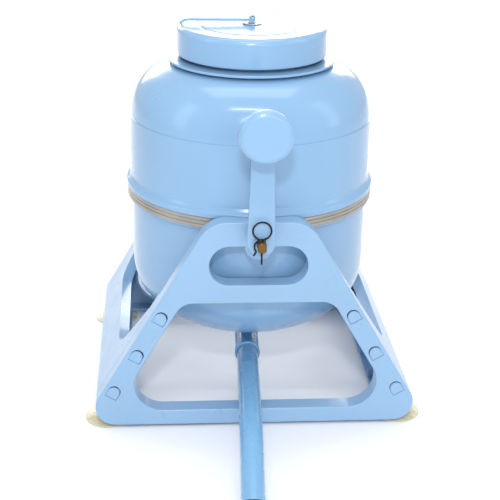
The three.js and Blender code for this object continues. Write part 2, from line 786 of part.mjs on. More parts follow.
function knobPin() {
  return turnedAlongY([
    [0, ARM.back - 1.7],
    [5.4, ARM.back - 1.7],
    [6, ARM.back - 1.2],
    [6, ARM.back - GAP],
    [KNOB_PIN_R, ARM.back - GAP],
    [KNOB_PIN_R, KNOB.face - 12.6],
    [KNOB_SNAP_R, KNOB.face - 12.6],
    [KNOB_PIN_R - 0.4, KNOB.face - 9.4],
    [0, KNOB.face - 9.4],
  ], 16);
}

// One bent wire: a straight leg through the axle, a round eye and a wavy leg that hugs the axle.
function crankClip() {
  const eye = { z: AXLE_Z + 16.5, r: 9.4 };
  const points = [-20, -8, 4.5, 6.4].map((above) => [0, AXLE_Z + above]);
  for (let i = 0; i <= 8; i += 1) {
    const angle = THREE.MathUtils.degToRad(-58 + (296 * i) / 8);
    points.push([eye.r * Math.cos(angle), eye.z + eye.r * Math.sin(angle)]);
  }
  points.push([-3.3, AXLE_Z + 6.4], [-7.1, AXLE_Z + 2.6], [-7.4, AXLE_Z - 2.4]);
  points.push([-5.9, AXLE_Z - 6], [-8.4, AXLE_Z - 10.4]);
  const path = new THREE.CatmullRomCurve3(points.map(([x, z]) => new THREE.Vector3(x, 0, z)));
  const section = new THREE.Shape().absarc(0, 0, CLIP_WIRE_R, 0, Math.PI * 2);
  return new THREE.ExtrudeGeometry(section, {
    steps: 38,
    curveSegments: 4,
    bevelEnabled: false,
    extrudePath: path,
  }).translate(0, -CLIP_Y, 0);
}

addSolid("crank_arm", crankArm(), COLOURS.shell);
add("knob_pin", knobPin(), COLOURS.steel, assembly, 0.9, 0.3).position.z = knobAxis;
add("crank_knob", crankKnob(), COLOURS.shell).position.z = knobAxis;
add("crank_clip", crankClip(), COLOURS.wire, assembly, 0.8, 0.35);

// ---------------------------------------------------------------- lid

function lidCap() {
  const edge = [];
  for (let i = 0; i <= 4; i += 1) {
    const angle = ((Math.PI / 2) * i) / 4;
    edge.push([
      LID.r - 0.5 - LID.edgeR * (1 - Math.cos(angle)),
      LID.top - LID.edgeR * (1 - Math.sin(angle)),
    ]);
  }
  const innerTop = LID.top - LID.wall;
  const hubBore = STUD_HOLE_R + GAP;
  const shell = solid(turned([
    [LID.r - LID.wall, LID.low],
    [LID.r, LID.low],
    ...edge,
    [20, LID.top + 0.5],
    [hubBore, LID.top + 0.5],
    [hubBore, innerTop - 8],
    [10, innerTop - 8],
    [10, innerTop],
    [LID_RING.inner, innerTop],
    [LID_RING.inner, LID_RING.low],
    [LID_RING.outer, LID_RING.low],
    [LID_RING.outer, innerTop],
    [LID.r - 8, innerTop],
    [LID.r - LID.wall - 0.6, innerTop - 4],
    [LID.r - LID.wall, LID.low],
  ], 36));
  const ribs = Array.from({ length: 8 }, (_, i) => solid(
    box([62, LID.r - 2.2], [-RIB_HALF, RIB_HALF], [MOUTH.top + 0.4, innerTop + 1])
      .rotateZ((Math.PI / 4) * (i + 0.5)),
  ));
  const spokes = Array.from({ length: 4 }, (_, i) => solid(
    box([8, 61], [-RIB_HALF, RIB_HALF], [innerTop - 6, innerTop + 1])
      .rotateZ((Math.PI / 2) * (i + 0.5)),
  ));
  return join(shell, ...ribs, ...spokes);
}

const leverPinBore = () => solid(
  ringAlongY(0, LEVER.pinR + GAP, -10, 10, 12).translate(0, 0, LEVER_PIN_Z));

// The stud's top is a flat eye that the lever's fork straddles.
function clampStud() {
  const { r, low, flatHalf, eyeR } = STUD;
  const shoulder = WASHER_TOP - 3;
  const rod = solid(ring(0, r, low, LEVER_PIN_Z - 1, 24));
  const eye = solid(ringAlongY(0, eyeR, -flatHalf, flatHalf, 20).translate(0, 0, LEVER_PIN_Z));
  const slim = solid(box([-5, 5], [-flatHalf, flatHalf], [shoulder, LEVER_PIN_Z]));
  const round = solid(ring(0, r, low, shoulder, 24));
  return join(round, rod.intersect(slim), eye).subtract(leverPinBore());
}

function clampPlate() {
  const dish = solid(turned([
    [STUD_HOLE_R, CLAMP_DISC.low],
    [12, CLAMP_DISC.low],
    [14, CLAMP_DISC.low + WALL],
    [CLAMP_DISC.r - 1, CLAMP_DISC.low + WALL],
    [CLAMP_DISC.r, CLAMP_DISC.low + WALL + 1],
    [CLAMP_DISC.r, CLAMP_DISC.high],
    [STUD_HOLE_R, CLAMP_DISC.high],
    [STUD_HOLE_R, CLAMP_DISC.low],
  ], 32));
  const holes = Array.from({ length: 4 }, (_, i) => solid(
    ring(0, 11, 370, 390, 10).translate(36, 0, 0).rotateZ((Math.PI / 2) * i),
  ));
  return cut(dish, ...holes);
}

// A forked lever with an eccentric cam on each cheek and a tip that curls over the lid's rim.
function lidLever() {
  const reach = 69.5;
  const slotEnd = 9;
  const half = 1.6;
  const curlR = 12.5;
  const curl = THREE.MathUtils.degToRad(52);
  const steps = 6;
  const armZ = LEVER_PIN_Z - 2;
  const bend = (offset) => Array.from({ length: steps }, (_, i) => {
    const angle = (curl * (i + 1)) / steps;
    const r = curlR + offset;
    return [-reach - r * Math.sin(angle), armZ - curlR + r * Math.cos(angle)];
  });
  const side = [
    [-slotEnd, armZ + half],
    [-reach, armZ + half],
    ...bend(half),
    ...bend(-half).reverse(),
    [-reach, armZ - half],
    [-slotEnd, armZ - half],
  ];
  const outline = side.map(([x, z]) => new THREE.Vector2(x, z));
  const bar = solid(plate(outline, -LEVER.halfWidth, LEVER.halfWidth));
  const cheeks = [-1, 1].map((cheek) => {
    const ys = [cheek * LEVER.slotHalf, cheek * LEVER.halfWidth].sort((a, b) => a - b);
    const round = (r, z) => solid(ringAlongY(0, r, -ys[1], -ys[0], 20).translate(0, 0, z));
    const neck = solid(box([-slotEnd - 1, 0], ys, [armZ - half, armZ + half]));
    const cam = round(CAM_R, LEVER_PIN_Z - CLAMP_STROKE);
    return join(cam, round(LEVER.crownR, LEVER_PIN_Z), neck);
  });
  return join(bar, ...cheeks).subtract(leverPinBore());
}

const leverPin = () => ringAlongY(0, LEVER.pinR, -7.6, 7.6, 16).translate(0, 0, LEVER_PIN_Z);

addSolid("lid_cap", lidCap(), COLOURS.shell);
add("lid_gasket", ring(56.5, 67, 384.1, 391.6, 40), COLOURS.rubber);
add("cam_washer", ring(4.6, 11, LID.top + 0.8, WASHER_TOP, 20), COLOURS.steel, assembly, 0.9, 0.3);
addSolid("clamp_stud", clampStud(), COLOURS.steel, assembly, 0.9, 0.3);
addSolid("clamp_plate", clampPlate(), COLOURS.shell);
const studNut = hexNut(STUD_HOLE_R, 6.8, CLAMP_DISC.low - 5, CLAMP_DISC.low - 0.4);
addSolid("stud_nut", studNut, COLOURS.steel, assembly, 0.9, 0.3);
add("lever_pin", leverPin(), COLOURS.steel, assembly, 0.9, 0.3);
addSolid("lid_lever", lidLever(), COLOURS.shell);

// ---------------------------------------------------------------- drain

const drain = new THREE.Group();
drain.rotation.z = DRAIN_TURN;
assembly.add(drain);

const inBarrel = (geometry) => geometry.translate(0, 0, DRAIN_Z);

function drainBody() {
  const barrel = solid(inBarrel(turnedAlongY([
    [0, -16],
    [BARREL_R, -16],
    [BARREL_R, 56.5],
    [BARREL_R + 0.8, 57.5],
    [BARREL_R + 0.8, 61.2],
    [BARREL_R, 62],
    [0, 62],
  ], 28)));
  const neck = solid(ring(0, 11, DRAIN_Z, 75, 24));
  const flange = solid(ring(0, 19, 58.6, 62.4, 24));
  const chamber = solid(inBarrel(ringAlongY(0, 10.8, -17, 12, 24)));
  const seat = solid(inBarrel(ringAlongY(0, 6.8, 10, 16, 16)));
  const socket = solid(inBarrel(ringAlongY(0, SOCKET_R, 15, 63, 28)));
  const passage = solid(ring(0, 8, DRAIN_Z, 76, 20));
  return cut(join(barrel, neck, flange), chamber, seat, socket, passage);
}

function drainStrainer() {
  const disc = solid(turned([
    [0, 75.4],
    [15, 75.4],
    [15, 76.6],
    [9, 78.2],
    [0, 78.6],
  ], 24));
  const collar = solid(ring(6.6, 7.6, 69, 76, 20));
  const holes = [0, 1, 2, 3, 4, 5].map((i) => solid(
    ring(0, 1.7, 70, 80, 6).translate(4, 0, 0).rotateZ((Math.PI / 3) * i),
  ));
  return cut(join(disc, collar), ...holes);
}

function valveCap() {
  return inBarrel(turnedAlongY([
    [0, -19],
    [BARREL_R, -19],
    [BARREL_R, -16 - GAP],
    [10.4, -16 - GAP],
    [10.4, -13],
    [2.8, -13],
    [2.8, -9],
    [0, -9],
  ], 24));
}

// Head, rod and the drilled push disc that the tube's end meets.
function valvePlunger() {
  const stem = solid(inBarrel(turnedAlongY([
    [0, 2],
    [2.8, 2],
    [2.8, 7.6],
    [9.3, 7.6],
    [9.3, 9.6],
    [2, 9.6],
    [2, 29.6],
    [11.6, 29.6],
    [11.6, 31.4],
    [0, 31.4],
  ], 24)));
  const holes = [0, 1, 2, 3].map((i) => solid(inBarrel(
    ringAlongY(0, 2.9, 28, 33, 8).translate(6.8, 0, 0).rotateY((Math.PI / 2) * i),
  )));
  return cut(stem, ...holes);
}

function valveSpring() {
  const turns = 4.5;
  const coilR = 4.7;
  const [from, to] = [7, -11.6];
  class Helix extends THREE.Curve {
    getPoint(t, target = new THREE.Vector3()) {
      const angle = Math.PI * 2 * turns * t;
      const y = -(from + (to - from) * t);
      return target.set(coilR * Math.cos(angle), y, coilR * Math.sin(angle));
    }
  }
  const section = new THREE.Shape().absarc(0, 0, 0.5, 0, Math.PI * 2);
  return inBarrel(new THREE.ExtrudeGeometry(section, {
    steps: 36,
    curveSegments: 3,
    bevelEnabled: false,
    extrudePath: new Helix(),
  }));
}

// Straight over the frame's bottom bar, a gentle bend, then down to a slanted outlet.
function drainTube() {
  const bend = 26;
  const fall = TUBE.drop / (TUBE.end - TUBE.bendAt);
  const corner = new THREE.Vector3(0, -TUBE.bendAt, DRAIN_Z);
  const slopeDown = new THREE.Vector3(0, -1, -fall).normalize();
  const start = new THREE.Vector3(0, -TUBE.start, DRAIN_Z);
  const bendIn = new THREE.Vector3(0, -TUBE.bendAt + bend, DRAIN_Z);
  const bendOut = corner.clone().addScaledVector(slopeDown, bend);
  const tip = new THREE.Vector3(0, -TUBE.end - 16, DRAIN_Z - TUBE.drop - 16 * fall);
  const path = new THREE.CurvePath();
  path.add(new THREE.LineCurve3(start, bendIn));
  path.add(new THREE.QuadraticBezierCurve3(bendIn, corner, bendOut));
  path.add(new THREE.LineCurve3(bendOut, tip));
  const section = new THREE.Shape().absarc(0, 0, TUBE.outer, 0, Math.PI * 2);
  section.holes.push(new THREE.Path().absarc(0, 0, TUBE.inner, 0, Math.PI * 2));
  const whole = solid(new THREE.ExtrudeGeometry(section, {
    steps: 12,
    curveSegments: 11,
    bevelEnabled: false,
    extrudePath: path,
  }));
  const outlet = new THREE.BoxGeometry(60, 60, 60).translate(0, -30, 0);
  outlet.rotateX(THREE.MathUtils.degToRad(50)).translate(0, -TUBE.end, DRAIN_Z - TUBE.drop);
  const groove = inBarrel(ringAlongY(TUBE.outer - 0.8, TUBE.outer + 2, 43.7, 46.7, 28));
  return cut(whole, solid(outlet), solid(groove));
}

addSolid("drain_body", drainBody(), COLOURS.drain, drain);
add("drain_gasket", ring(11.8, 18.4, 62.7, 65.9, 24), COLOURS.rubber, drain);
addSolid("drain_nut", hexNut(11 + GAP, 17.5, 69.9, 74.7), COLOURS.nylon, drain);
addSolid("drain_strainer", drainStrainer(), COLOURS.nylon, drain);
add("valve_cap", valveCap(), COLOURS.drain, drain);
addSolid("valve_plunger", valvePlunger(), COLOURS.nylon, drain);
add("valve_seal", inBarrel(ringAlongY(2.3, 9, 9.9, 11.6, 20)), COLOURS.rubber, drain);
add("valve_spring", valveSpring(), COLOURS.steel, drain, 0.9, 0.3);
addSolid("drain_tube", drainTube(), COLOURS.drain, drain);
add(
  "tube_oring",
  inBarrel(ringAlongY(TUBE.outer - 0.5, SOCKET_R - 0.3, 44.2, 46.2, 24)),
  COLOURS.rubber,
  drain,
);

// ---------------------------------------------------------------- origin

const footprint = new THREE.Box3().setFromObject(assembly, true);
assembly.position.y = -(footprint.min.y + footprint.max.y) / 2;

export default assembly;
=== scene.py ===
"""Looks for the hand-cranked tumbling washer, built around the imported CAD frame.

Lengths are millimetres in drum axes: x to the right, y to the back from the drum's centre line and z up
from the tabletop. Every mesh is moved to the row frame, in metres, when it becomes a piece.
"""

import json
import math

import bmesh
import bpy
from mathutils import Matrix, Vector
from mathutils.geometry import tessellate_polygon

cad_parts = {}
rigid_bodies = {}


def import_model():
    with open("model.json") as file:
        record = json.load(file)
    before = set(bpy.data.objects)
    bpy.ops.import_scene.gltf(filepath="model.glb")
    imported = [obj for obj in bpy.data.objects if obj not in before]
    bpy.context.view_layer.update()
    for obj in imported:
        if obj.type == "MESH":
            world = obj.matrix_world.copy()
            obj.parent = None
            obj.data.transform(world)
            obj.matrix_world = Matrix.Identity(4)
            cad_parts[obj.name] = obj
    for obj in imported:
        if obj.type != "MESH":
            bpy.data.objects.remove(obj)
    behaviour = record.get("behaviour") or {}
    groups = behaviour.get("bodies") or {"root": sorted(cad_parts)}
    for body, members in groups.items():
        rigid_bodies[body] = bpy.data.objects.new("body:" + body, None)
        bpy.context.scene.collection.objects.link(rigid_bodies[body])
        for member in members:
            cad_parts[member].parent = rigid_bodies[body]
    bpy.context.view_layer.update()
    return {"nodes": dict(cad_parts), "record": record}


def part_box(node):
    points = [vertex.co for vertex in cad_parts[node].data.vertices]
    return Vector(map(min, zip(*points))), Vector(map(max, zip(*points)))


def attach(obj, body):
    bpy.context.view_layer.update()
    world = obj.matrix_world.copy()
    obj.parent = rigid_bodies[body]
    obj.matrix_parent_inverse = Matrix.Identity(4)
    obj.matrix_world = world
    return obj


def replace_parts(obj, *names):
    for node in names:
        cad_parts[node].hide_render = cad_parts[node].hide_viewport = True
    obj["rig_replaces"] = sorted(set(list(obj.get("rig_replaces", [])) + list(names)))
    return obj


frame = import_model()

MM = 0.001
EDGE_ANGLE = 32


def middle(node):
    low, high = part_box(node)
    return (low + high) / 2


DRUM_Y = middle("seam_band").y
TO_ROW = Matrix.Translation((0, DRUM_Y, 0)) @ Matrix.Scale(MM, 4)

# ------------------------------------------------------------------ sizes shared with the CAD

WALL = 3
AXLE_Z = round(middle("front_bearing").z / MM, 3)
SWEEP_R = 143.5
DRUM_SIDES = 224

DRUM_R = 135
BOWL_R = 133.4
SEAM_Z = 233.9
SKIRT_R = 139.9
SHOULDER_Z = 313.3
DOME_TOP = (74.7, 372.6)
BOWL_KNUCKLE_Z = 144.6
BOWL_BOTTOM_Z = 66.2
DRAIN_HOLE_R = 11.5
BAND_INNER, BAND_OUTER, BAND_LOW, BAND_HIGH = 136.8, 139.2, 221.7, 233.6
FLANGE_R, FLANGE_LOW, FLANGE_HIGH = 93, 374, 376.8
MOUTH_INNER, MOUTH_OUTER, MOUTH_TOP = 67.4, 70.6, 400

FACE_Y = 157.7
FRAME_DEPTH = 20
FRAME_BOTTOM = 3
FRAME_TOP = 239
TOP_HALF = 52.3
LEAN = 0.588
LEG_WIDTH = 22
FRAME_TOP_R, FRAME_FOOT_R = 34.5, 22
WINDOW_TOP, WINDOW_FOOT, WINDOW_TOP_R, WINDOW_FOOT_R = 147.8, 20.8, 20, 31
HAND_HOLE_LOW, HAND_HOLE_HIGH, HAND_HOLE_HALF, HAND_TAB_R = 168.6, 212.2, 52, 15
BUSH_BORE_R, BUSH_HUB_R = 9.3, 13.5
RIB_HALF = 1
TAB_HEIGHTS = (127.4, 83.4, 40.1)
TAB_INSET = 11
TAB_HOLE_HALF, TAB_HOLE_STRAIGHT, TAB_HOLE_DROP = 7, 5, 3.4
TAB_HALF, TAB_STRAIGHT, TAB_DROP = 6.8, 3, 3.3

PANEL_HALF = 137.4
PANEL_TOP = 150
PANEL_DEPTH = 12.5
PANEL_WEB = 19
PANEL_FLANGE_X = 140

CUP_X, CUP_Y, CUP_R = 160.2, 129.7, 27.4
CUP_SEATS = ((19, 5.2), (5.6, 7.3))

THROW = 122
KNOB_Z = AXLE_Z + THROW
ARM_HUB_BACK, ARM_BACK, ARM_FRONT = 162.8, 173.4, 181.4
ARM_LOW_R, ARM_HIGH_R = 14.5, 10.6
KNOB_BACK, KNOB_FRONT, KNOB_R = 204, 217.2, 26.7
CLIP_Y = 187.6

LID_R, LID_LOW, LID_TOP = 82.9, 380.8, 412.1
LEVER_Z = 420
LEVER_HALF_WIDTH, LEVER_FORK_HALF, LEVER_PIN_R = 6.5, 2.9, 1.8

DRAIN_TURN = math.radians(-2.6)
DRAIN_Z = 40
TUBE_OUTER, TUBE_INNER = 12.1, 10.3
TUBE_START, TUBE_BEND, TUBE_END, TUBE_DROP = 32, 230, 325, 26.5

# ------------------------------------------------------------------ camera: pitch, yaw, roll in degrees

CAMERA_PLACE = (-102.4, -1332.3, 689.6)
CAMERA_TURNS = (22.196, -4.512, 1.154)
CAMERA_LENS = 88.15

# ------------------------------------------------------------------ outlines

LEG_COS = 1 / math.hypot(1, LEAN)


def leg_x(z, inset=0.0):
    """Sideways place of a leg's outer line at a height, moved in by an amount."""
    return TOP_HALF + (FRAME_TOP - z) * LEAN - inset / LEG_COS


def arc(x, y, r, start, end, steps):
    """Points on an arc, angles in degrees, both ends included."""
    turns = [math.radians(start + (end - start) * i / steps) for i in range(steps + 1)]
    return [(x + r * math.cos(t), y + r * math.sin(t)) for t in turns]


def rounded(corners, step=8.0):
    """A closed outline from corners (x, y, radius), each rounded by an arc with facets of step degrees."""
    points = []
    for i, (x, y, radius) in enumerate(corners):
        here = Vector((x, y))
        back = (Vector(corners[i - 1][:2]) - here).normalized()
        ahead = (Vector(corners[(i + 1) % len(corners)][:2]) - here).normalized()
        half = math.acos(max(-1.0, min(1.0, back.dot(ahead)))) / 2
        if radius <= 0 or half > math.pi / 2 - 1e-3:
            points.append((x, y))
            continue
        centre = here + (back + ahead).normalized() * (radius / math.sin(half))
        start = here + back * (radius / math.tan(half)) - centre
        end = here + ahead * (radius / math.tan(half)) - centre
        turn = math.atan2(start.x * end.y - start.y * end.x, start.dot(end))
        steps = max(3, round(abs(math.degrees(turn)) / step))
        for k in range(steps + 1):
            spoke = Matrix.Rotation(turn * k / steps, 2) @ start
            points.append(tuple(centre + spoke))
    return points


def both_sides(corners):
    return corners + [(-x, y, r) for x, y, r in reversed(corners)]


def mirrored(points):
    return [(-x, y) for x, y in reversed(points)]


def area(points):
    return sum(points[i - 1][0] * p[1] - p[0] * points[i - 1][1] for i, p in enumerate(points)) / 2


# ------------------------------------------------------------------ meshes


def new_mesh(build, name="part"):
    """A mesh in drum millimetres from build(bm), with its normals outwards."""
    bm = bmesh.new()
    build(bm)
    bmesh.ops.remove_doubles(bm, verts=bm.verts, dist=1e-4)
    bmesh.ops.recalc_face_normals(bm, faces=bm.faces)
    mesh = bpy.data.meshes.new(name)
    bm.to_mesh(mesh)
    bm.free()
    return mesh


def moved(mesh, *matrices):
    for matrix in matrices:
        mesh.transform(matrix)
    return mesh


def turned(profile, sides=144):
    """A closed ring or solid about Z from a closed profile of points (r, z)."""

    def build(bm):
        rings = []
        for r, z in profile:
            if abs(r) < 1e-6:
                rings.append([bm.verts.new((0, 0, z))])
                continue
            turns = [2 * math.pi * i / sides for i in range(sides)]
            rings.append([bm.verts.new((r * math.sin(t), -r * math.cos(t), z)) for t in turns])
        for i, ring in enumerate(rings):
            other = rings[i - 1]
            if len(ring) == 1 and len(other) == 1:
                continue
            for k in range(sides):
                corners = [other[k % len(other)], other[(k + 1) % len(other)],
                           ring[(k + 1) % len(ring)], ring[k % len(ring)]]
                unique = list(dict.fromkeys(corners))
                bm.faces.new(unique)

    return new_mesh(build)


def turned_along_y(profile, sides=96, z=0.0):
    """The same about an axle along Y, from points (r, distance to the front)."""
    return moved(turned(profile, sides), Matrix.Translation((0, 0, z)) @ Matrix.Rotation(math.pi / 2, 4, "X"))


def tube_profile(inner, outer, low, high, edge=0.3):
    corners = [(inner, low, edge), (outer, low, edge), (outer, high, edge), (inner, high, edge)]
    if inner <= 0:
        corners = [(0, low, 0), (outer, low, edge), (outer, high, edge), (0, high, 0)]
    return rounded(corners, 30)


def stacked(levels):
    """A plate in the XZ plane from levels (y, [outline, hole, ...]), each with the same numbers of points."""
    first = levels[0][1]
    flips = [area(loop) < 0 for loop in first]
    flips = [flip if i == 0 else not flip for i, flip in enumerate(flips)]

    def build(bm):
        stack = []
        for y, loops in levels:
            loops = [loop[::-1] if flip else loop for loop, flip in zip(loops, flips)]
            stack.append([[bm.verts.new((x, y, z)) for x, z in loop] for loop in loops])
        for y, rings in ((levels[0], stack[0]), (levels[-1], stack[-1])):
            flat = [vertex for ring in rings for vertex in ring]
            outlines = [[Vector((v.co.x, v.co.z, 0)) for v in ring] for ring in rings]
            for triangle in tessellate_polygon(outlines):
                bm.faces.new([flat[i] for i in triangle])
        for near_rings, far_rings in zip(stack, stack[1:]):
            for near, far in zip(near_rings, far_rings):
                for i in range(len(near)):
                    bm.faces.new([near[i - 1], near[i], far[i], far[i - 1]])

    return new_mesh(build)


def plate(outline, y_low, y_high, holes=()):
    """An outline in the XZ plane, with holes, made into a plate with sharp edges."""
    return stacked([(y, [outline, *holes]) for y in (y_low, y_high)])


def soft_plate(loops_at, y_low, y_high, front=0.0, back=0.0, steps=4):
    """A plate with rounded edges; loops_at(inset) gives its outline and holes, moved into the material."""
    levels = []
    for k in range(steps + 1 if front else 1):
        t = math.pi / 2 * k / steps if front else math.pi / 2
        levels.append((y_low + front * (1 - math.cos(t)), front * (1 - math.sin(t))))
    for k in range(steps, -1, -1) if back else [steps]:
        t = math.pi / 2 * k / steps
        levels.append((y_high - back * (1 - math.cos(t)), back * (1 - math.sin(t))))
    return stacked([(y, loops_at(inset)) for y, inset in levels])


def block(xs, ys, zs):
    corners = [(xs[0], zs[0]), (xs[1], zs[0]), (xs[1], zs[1]), (xs[0], zs[1])]
    return plate(corners, *ys)


def swept(centres, section):
    """A tube along centres, a list of Vectors, with a closed section of (u, v) points."""
    runs_along_y = abs((centres[-1] - centres[0]).normalized().y) >= 0.5
    side_axis = Vector((1, 0, 0)) if runs_along_y else Vector((0, 1, 0))

    def build(bm):
        rings = []
        for i, centre in enumerate(centres):
            ahead = centres[min(i + 1, len(centres) - 1)] - centres[max(i - 1, 0)]
            ahead.normalize()
            across = ahead.cross(side_axis).normalized()
            along = across.cross(ahead)
            rings.append([bm.verts.new(centre + across * u + along * v) for u, v in section])
        for near, far in zip(rings, rings[1:]):
            for k in range(len(section)):
                bm.faces.new([near[k - 1], near[k], far[k], far[k - 1]])
        bm.faces.new(rings[0])
        bm.faces.new(rings[-1][::-1])

    return new_mesh(build)


def combined(first, operation, *others):
    """The boolean of meshes, as a new mesh. operation is UNION or DIFFERENCE or INTERSECT."""
    base = bpy.data.objects.new("base", first)
    bpy.context.scene.collection.objects.link(base)
    tools = []
    for other in others:
        tool = bpy.data.objects.new("tool", other)
        bpy.context.scene.collection.objects.link(tool)
        tools.append(tool)
        modifier = base.modifiers.new("boolean", "BOOLEAN")
        modifier.operation = operation
        modifier.solver = "MANIFOLD"
        modifier.object = tool
    graph = bpy.context.evaluated_depsgraph_get()
    result = bpy.data.meshes.new_from_object(base.evaluated_get(graph))
    for used in [base, *tools]:
        bpy.data.objects.remove(used)
    return result


def cut(first, *others):
    return combined(first, "DIFFERENCE", *others)


def join(first, *others):
    return combined(first, "UNION", *others)


def simplified(mesh):
    """Points closer than a hair, as booleans leave them, become one."""
    bm = bmesh.new()
    bm.from_mesh(mesh)
    bmesh.ops.remove_doubles(bm, verts=bm.verts, dist=2e-3)
    bm.to_mesh(mesh)
    bm.free()
    return mesh


def piece(name, mesh, body, slot, *nodes, smooth=EDGE_ANGLE):
    """A mesh in drum millimetres becomes a piece of the model, standing for CAD nodes."""
    mesh = simplified(mesh)
    mesh.transform(TO_ROW)
    mesh.name = name
    made = bpy.data.objects.new(name, mesh)
    bpy.context.scene.collection.objects.link(made)
    mesh.shade_smooth()
    mesh.set_sharp_from_angle(angle=math.radians(smooth))
    weighted = made.modifiers.new("flat_faces", "WEIGHTED_NORMAL")
    weighted.keep_sharp = True
    weighted.weight = 100
    mesh.materials.clear()
    mesh.materials.append(materials[slot])
    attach(made, body)
    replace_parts(made, *nodes)
    return made


# ------------------------------------------------------------------ materials


class Nodes:
    """Short calls for building one material."""

    def __init__(self, name):
        self.material = bpy.data.materials.new(name)
        self.material.use_nodes = True
        self.tree = self.material.node_tree
        self.shader = self.tree.nodes["Principled BSDF"]
        self.place = self.add("ShaderNodeTexCoord").outputs["Object"]

    def add(self, kind, **settings):
        node = self.tree.nodes.new(kind)
        for key, value in settings.items():
            setattr(node, key, value)
        return node

    def link(self, source, target):
        self.tree.links.new(source, target)

    def noise(self, scale, detail=3.0, stretch=None):
        node = self.add("ShaderNodeTexNoise")
        node.inputs["Scale"].default_value = scale
        node.inputs["Detail"].default_value = detail
        place = self.place
        if stretch:
            mapping = self.add("ShaderNodeMapping")
            mapping.inputs["Scale"].default_value = stretch
            self.link(place, mapping.inputs["Vector"])
            place = mapping.outputs["Vector"]
        self.link(place, node.inputs["Vector"])
        return node.outputs["Fac"]

    def spread(self, source, low, high, start=0.3, end=0.7):
        node = self.add("ShaderNodeMapRange")
        node.inputs["From Min"].default_value = start
        node.inputs["From Max"].default_value = end
        node.inputs["To Min"].default_value = low
        node.inputs["To Max"].default_value = high
        self.link(source, node.inputs["Value"])
        return node.outputs["Result"]

    def times(self, first, second):
        node = self.add("ShaderNodeMath", operation="MULTIPLY")
        self.link(first, node.inputs[0])
        self.link(second, node.inputs[1])
        return node.outputs["Value"]

    def colours(self, factor, stops):
        ramp = self.add("ShaderNodeValToRGB")
        elements = ramp.color_ramp.elements
        while len(elements) < len(stops):
            elements.new(0.5)
        for element, (place, colour) in zip(elements, stops):
            element.position = place
            element.color = (*colour, 1)
        self.link(factor, ramp.inputs["Fac"])
        return ramp.outputs["Color"]

    def blend(self, factor, first, second):
        node = self.add("ShaderNodeMix", data_type="RGBA")
        self.link(factor, node.inputs["Factor"])
        self.link(first, node.inputs["A"])
        if isinstance(second, tuple):
            node.inputs["B"].default_value = (*second, 1)
        else:
            self.link(second, node.inputs["B"])
        return node.outputs["Result"]

    def bump(self, height, distance, strength=1.0, below=None):
        node = self.add("ShaderNodeBump")
        node.inputs["Distance"].default_value = distance * MM
        node.inputs["Strength"].default_value = strength
        self.link(height, node.inputs["Height"])
        if below:
            self.link(below, node.inputs["Normal"])
        return node.outputs["Normal"]

    def finish(self, colour=None, rough=None, normal=None, **values):
        if colour:
            self.link(colour, self.shader.inputs["Base Color"])
        if rough:
            self.link(rough, self.shader.inputs["Roughness"])
        if normal:
            self.link(normal, self.shader.inputs["Normal"])
        for key, value in values.items():
            self.shader.inputs[key.replace("_", " ")].default_value = value
        return self.material


def shaded(colour, amount):
    return tuple(min(1.0, c * amount) for c in colour)


def moulded_plastic(name, colour, rough=(0.2, 0.3), scuffs=0.2):
    """Glossy injection-moulded plastic: faint flow clouding, orange peel and a few rubbed patches."""
    n = Nodes(name)
    cloud = n.noise(9, 2)
    base = n.colours(cloud, [(0.3, shaded(colour, 0.965)), (0.5, colour), (0.7, shaded(colour, 1.02))])
    fine = n.spread(n.noise(900, 2), 0, 1, 0.35, 0.65)
    rubbed = n.spread(n.noise(26, 4), 0, 1, 0.56, 0.7)
    patches = n.times(rubbed, n.spread(n.noise(420, 2, (1, 1, 0.12)), 0, 1))
    worn = n.spread(patches, 0, scuffs * 0.35, 0, 1)
    tinted = n.blend(worn, base, shaded(colour, 1.12))
    gloss = n.spread(n.noise(38, 3), rough[0], rough[1])
    dull = n.add("ShaderNodeMath", operation="ADD")
    n.link(gloss, dull.inputs[0])
    n.link(worn, dull.inputs[1])
    peel = n.bump(n.noise(170, 2), 0.035, 0.5)
    normal = n.bump(fine, 0.006, 0.4, below=peel)
    return n.finish(tinted, dull.outputs["Value"], normal, IOR=1.5, Specular_IOR_Level=0.5,
                    Coat_Weight=0.35, Coat_Roughness=0.08)


def rolled_steel(name, colour, stretch, rough=(0.24, 0.4)):
    """Metal with fine lines along its rolling or turning direction."""
    n = Nodes(name)
    lines = n.noise(240, 3, stretch)
    cloud = n.noise(22, 3)
    base = n.colours(cloud, [(0.3, shaded(colour, 0.82)), (0.55, colour), (0.75, shaded(colour, 1.08))])
    streaked = n.blend(n.spread(lines, 0, 0.35), base, shaded(colour, 0.7))
    normal = n.bump(lines, 0.02, 0.5)
    return n.finish(streaked, n.spread(n.noise(60, 4), *rough), normal, Metallic=1.0)


def wire(name):
    n = Nodes(name)
    base = n.colours(n.noise(300, 3), [(0.35, (0.012, 0.011, 0.014)), (0.6, (0.03, 0.026, 0.028)),
                                       (0.8, (0.10, 0.06, 0.035))])
    return n.finish(base, n.spread(n.noise(500, 2), 0.28, 0.5), n.bump(n.noise(900, 2), 0.01), Metallic=0.85)


def soft_vinyl(name):
    """Waxy translucent suction-cup vinyl, yellowed a little."""
    n = Nodes(name)
    base = n.colours(n.noise(30, 3), [(0.3, (0.62, 0.55, 0.34)), (0.55, (0.74, 0.68, 0.47)),
                                      (0.75, (0.80, 0.76, 0.58))])
    return n.finish(base, n.spread(n.noise(60, 3), 0.22, 0.42), n.bump(n.noise(160, 3), 0.03, 0.5),
                    Subsurface_Weight=0.35, Subsurface_Scale=0.004, Subsurface_Radius=(1.0, 0.8, 0.4),
                    Transmission_Weight=0.18, IOR=1.45)


def plain_polymer(name, dark, light, rough, scale=220):
    n = Nodes(name)
    base = n.colours(n.noise(18, 3), [(0.3, dark), (0.7, light)])
    return n.finish(base, n.spread(n.noise(70, 3), *rough), n.bump(n.noise(scale, 3), 0.03, 0.5))


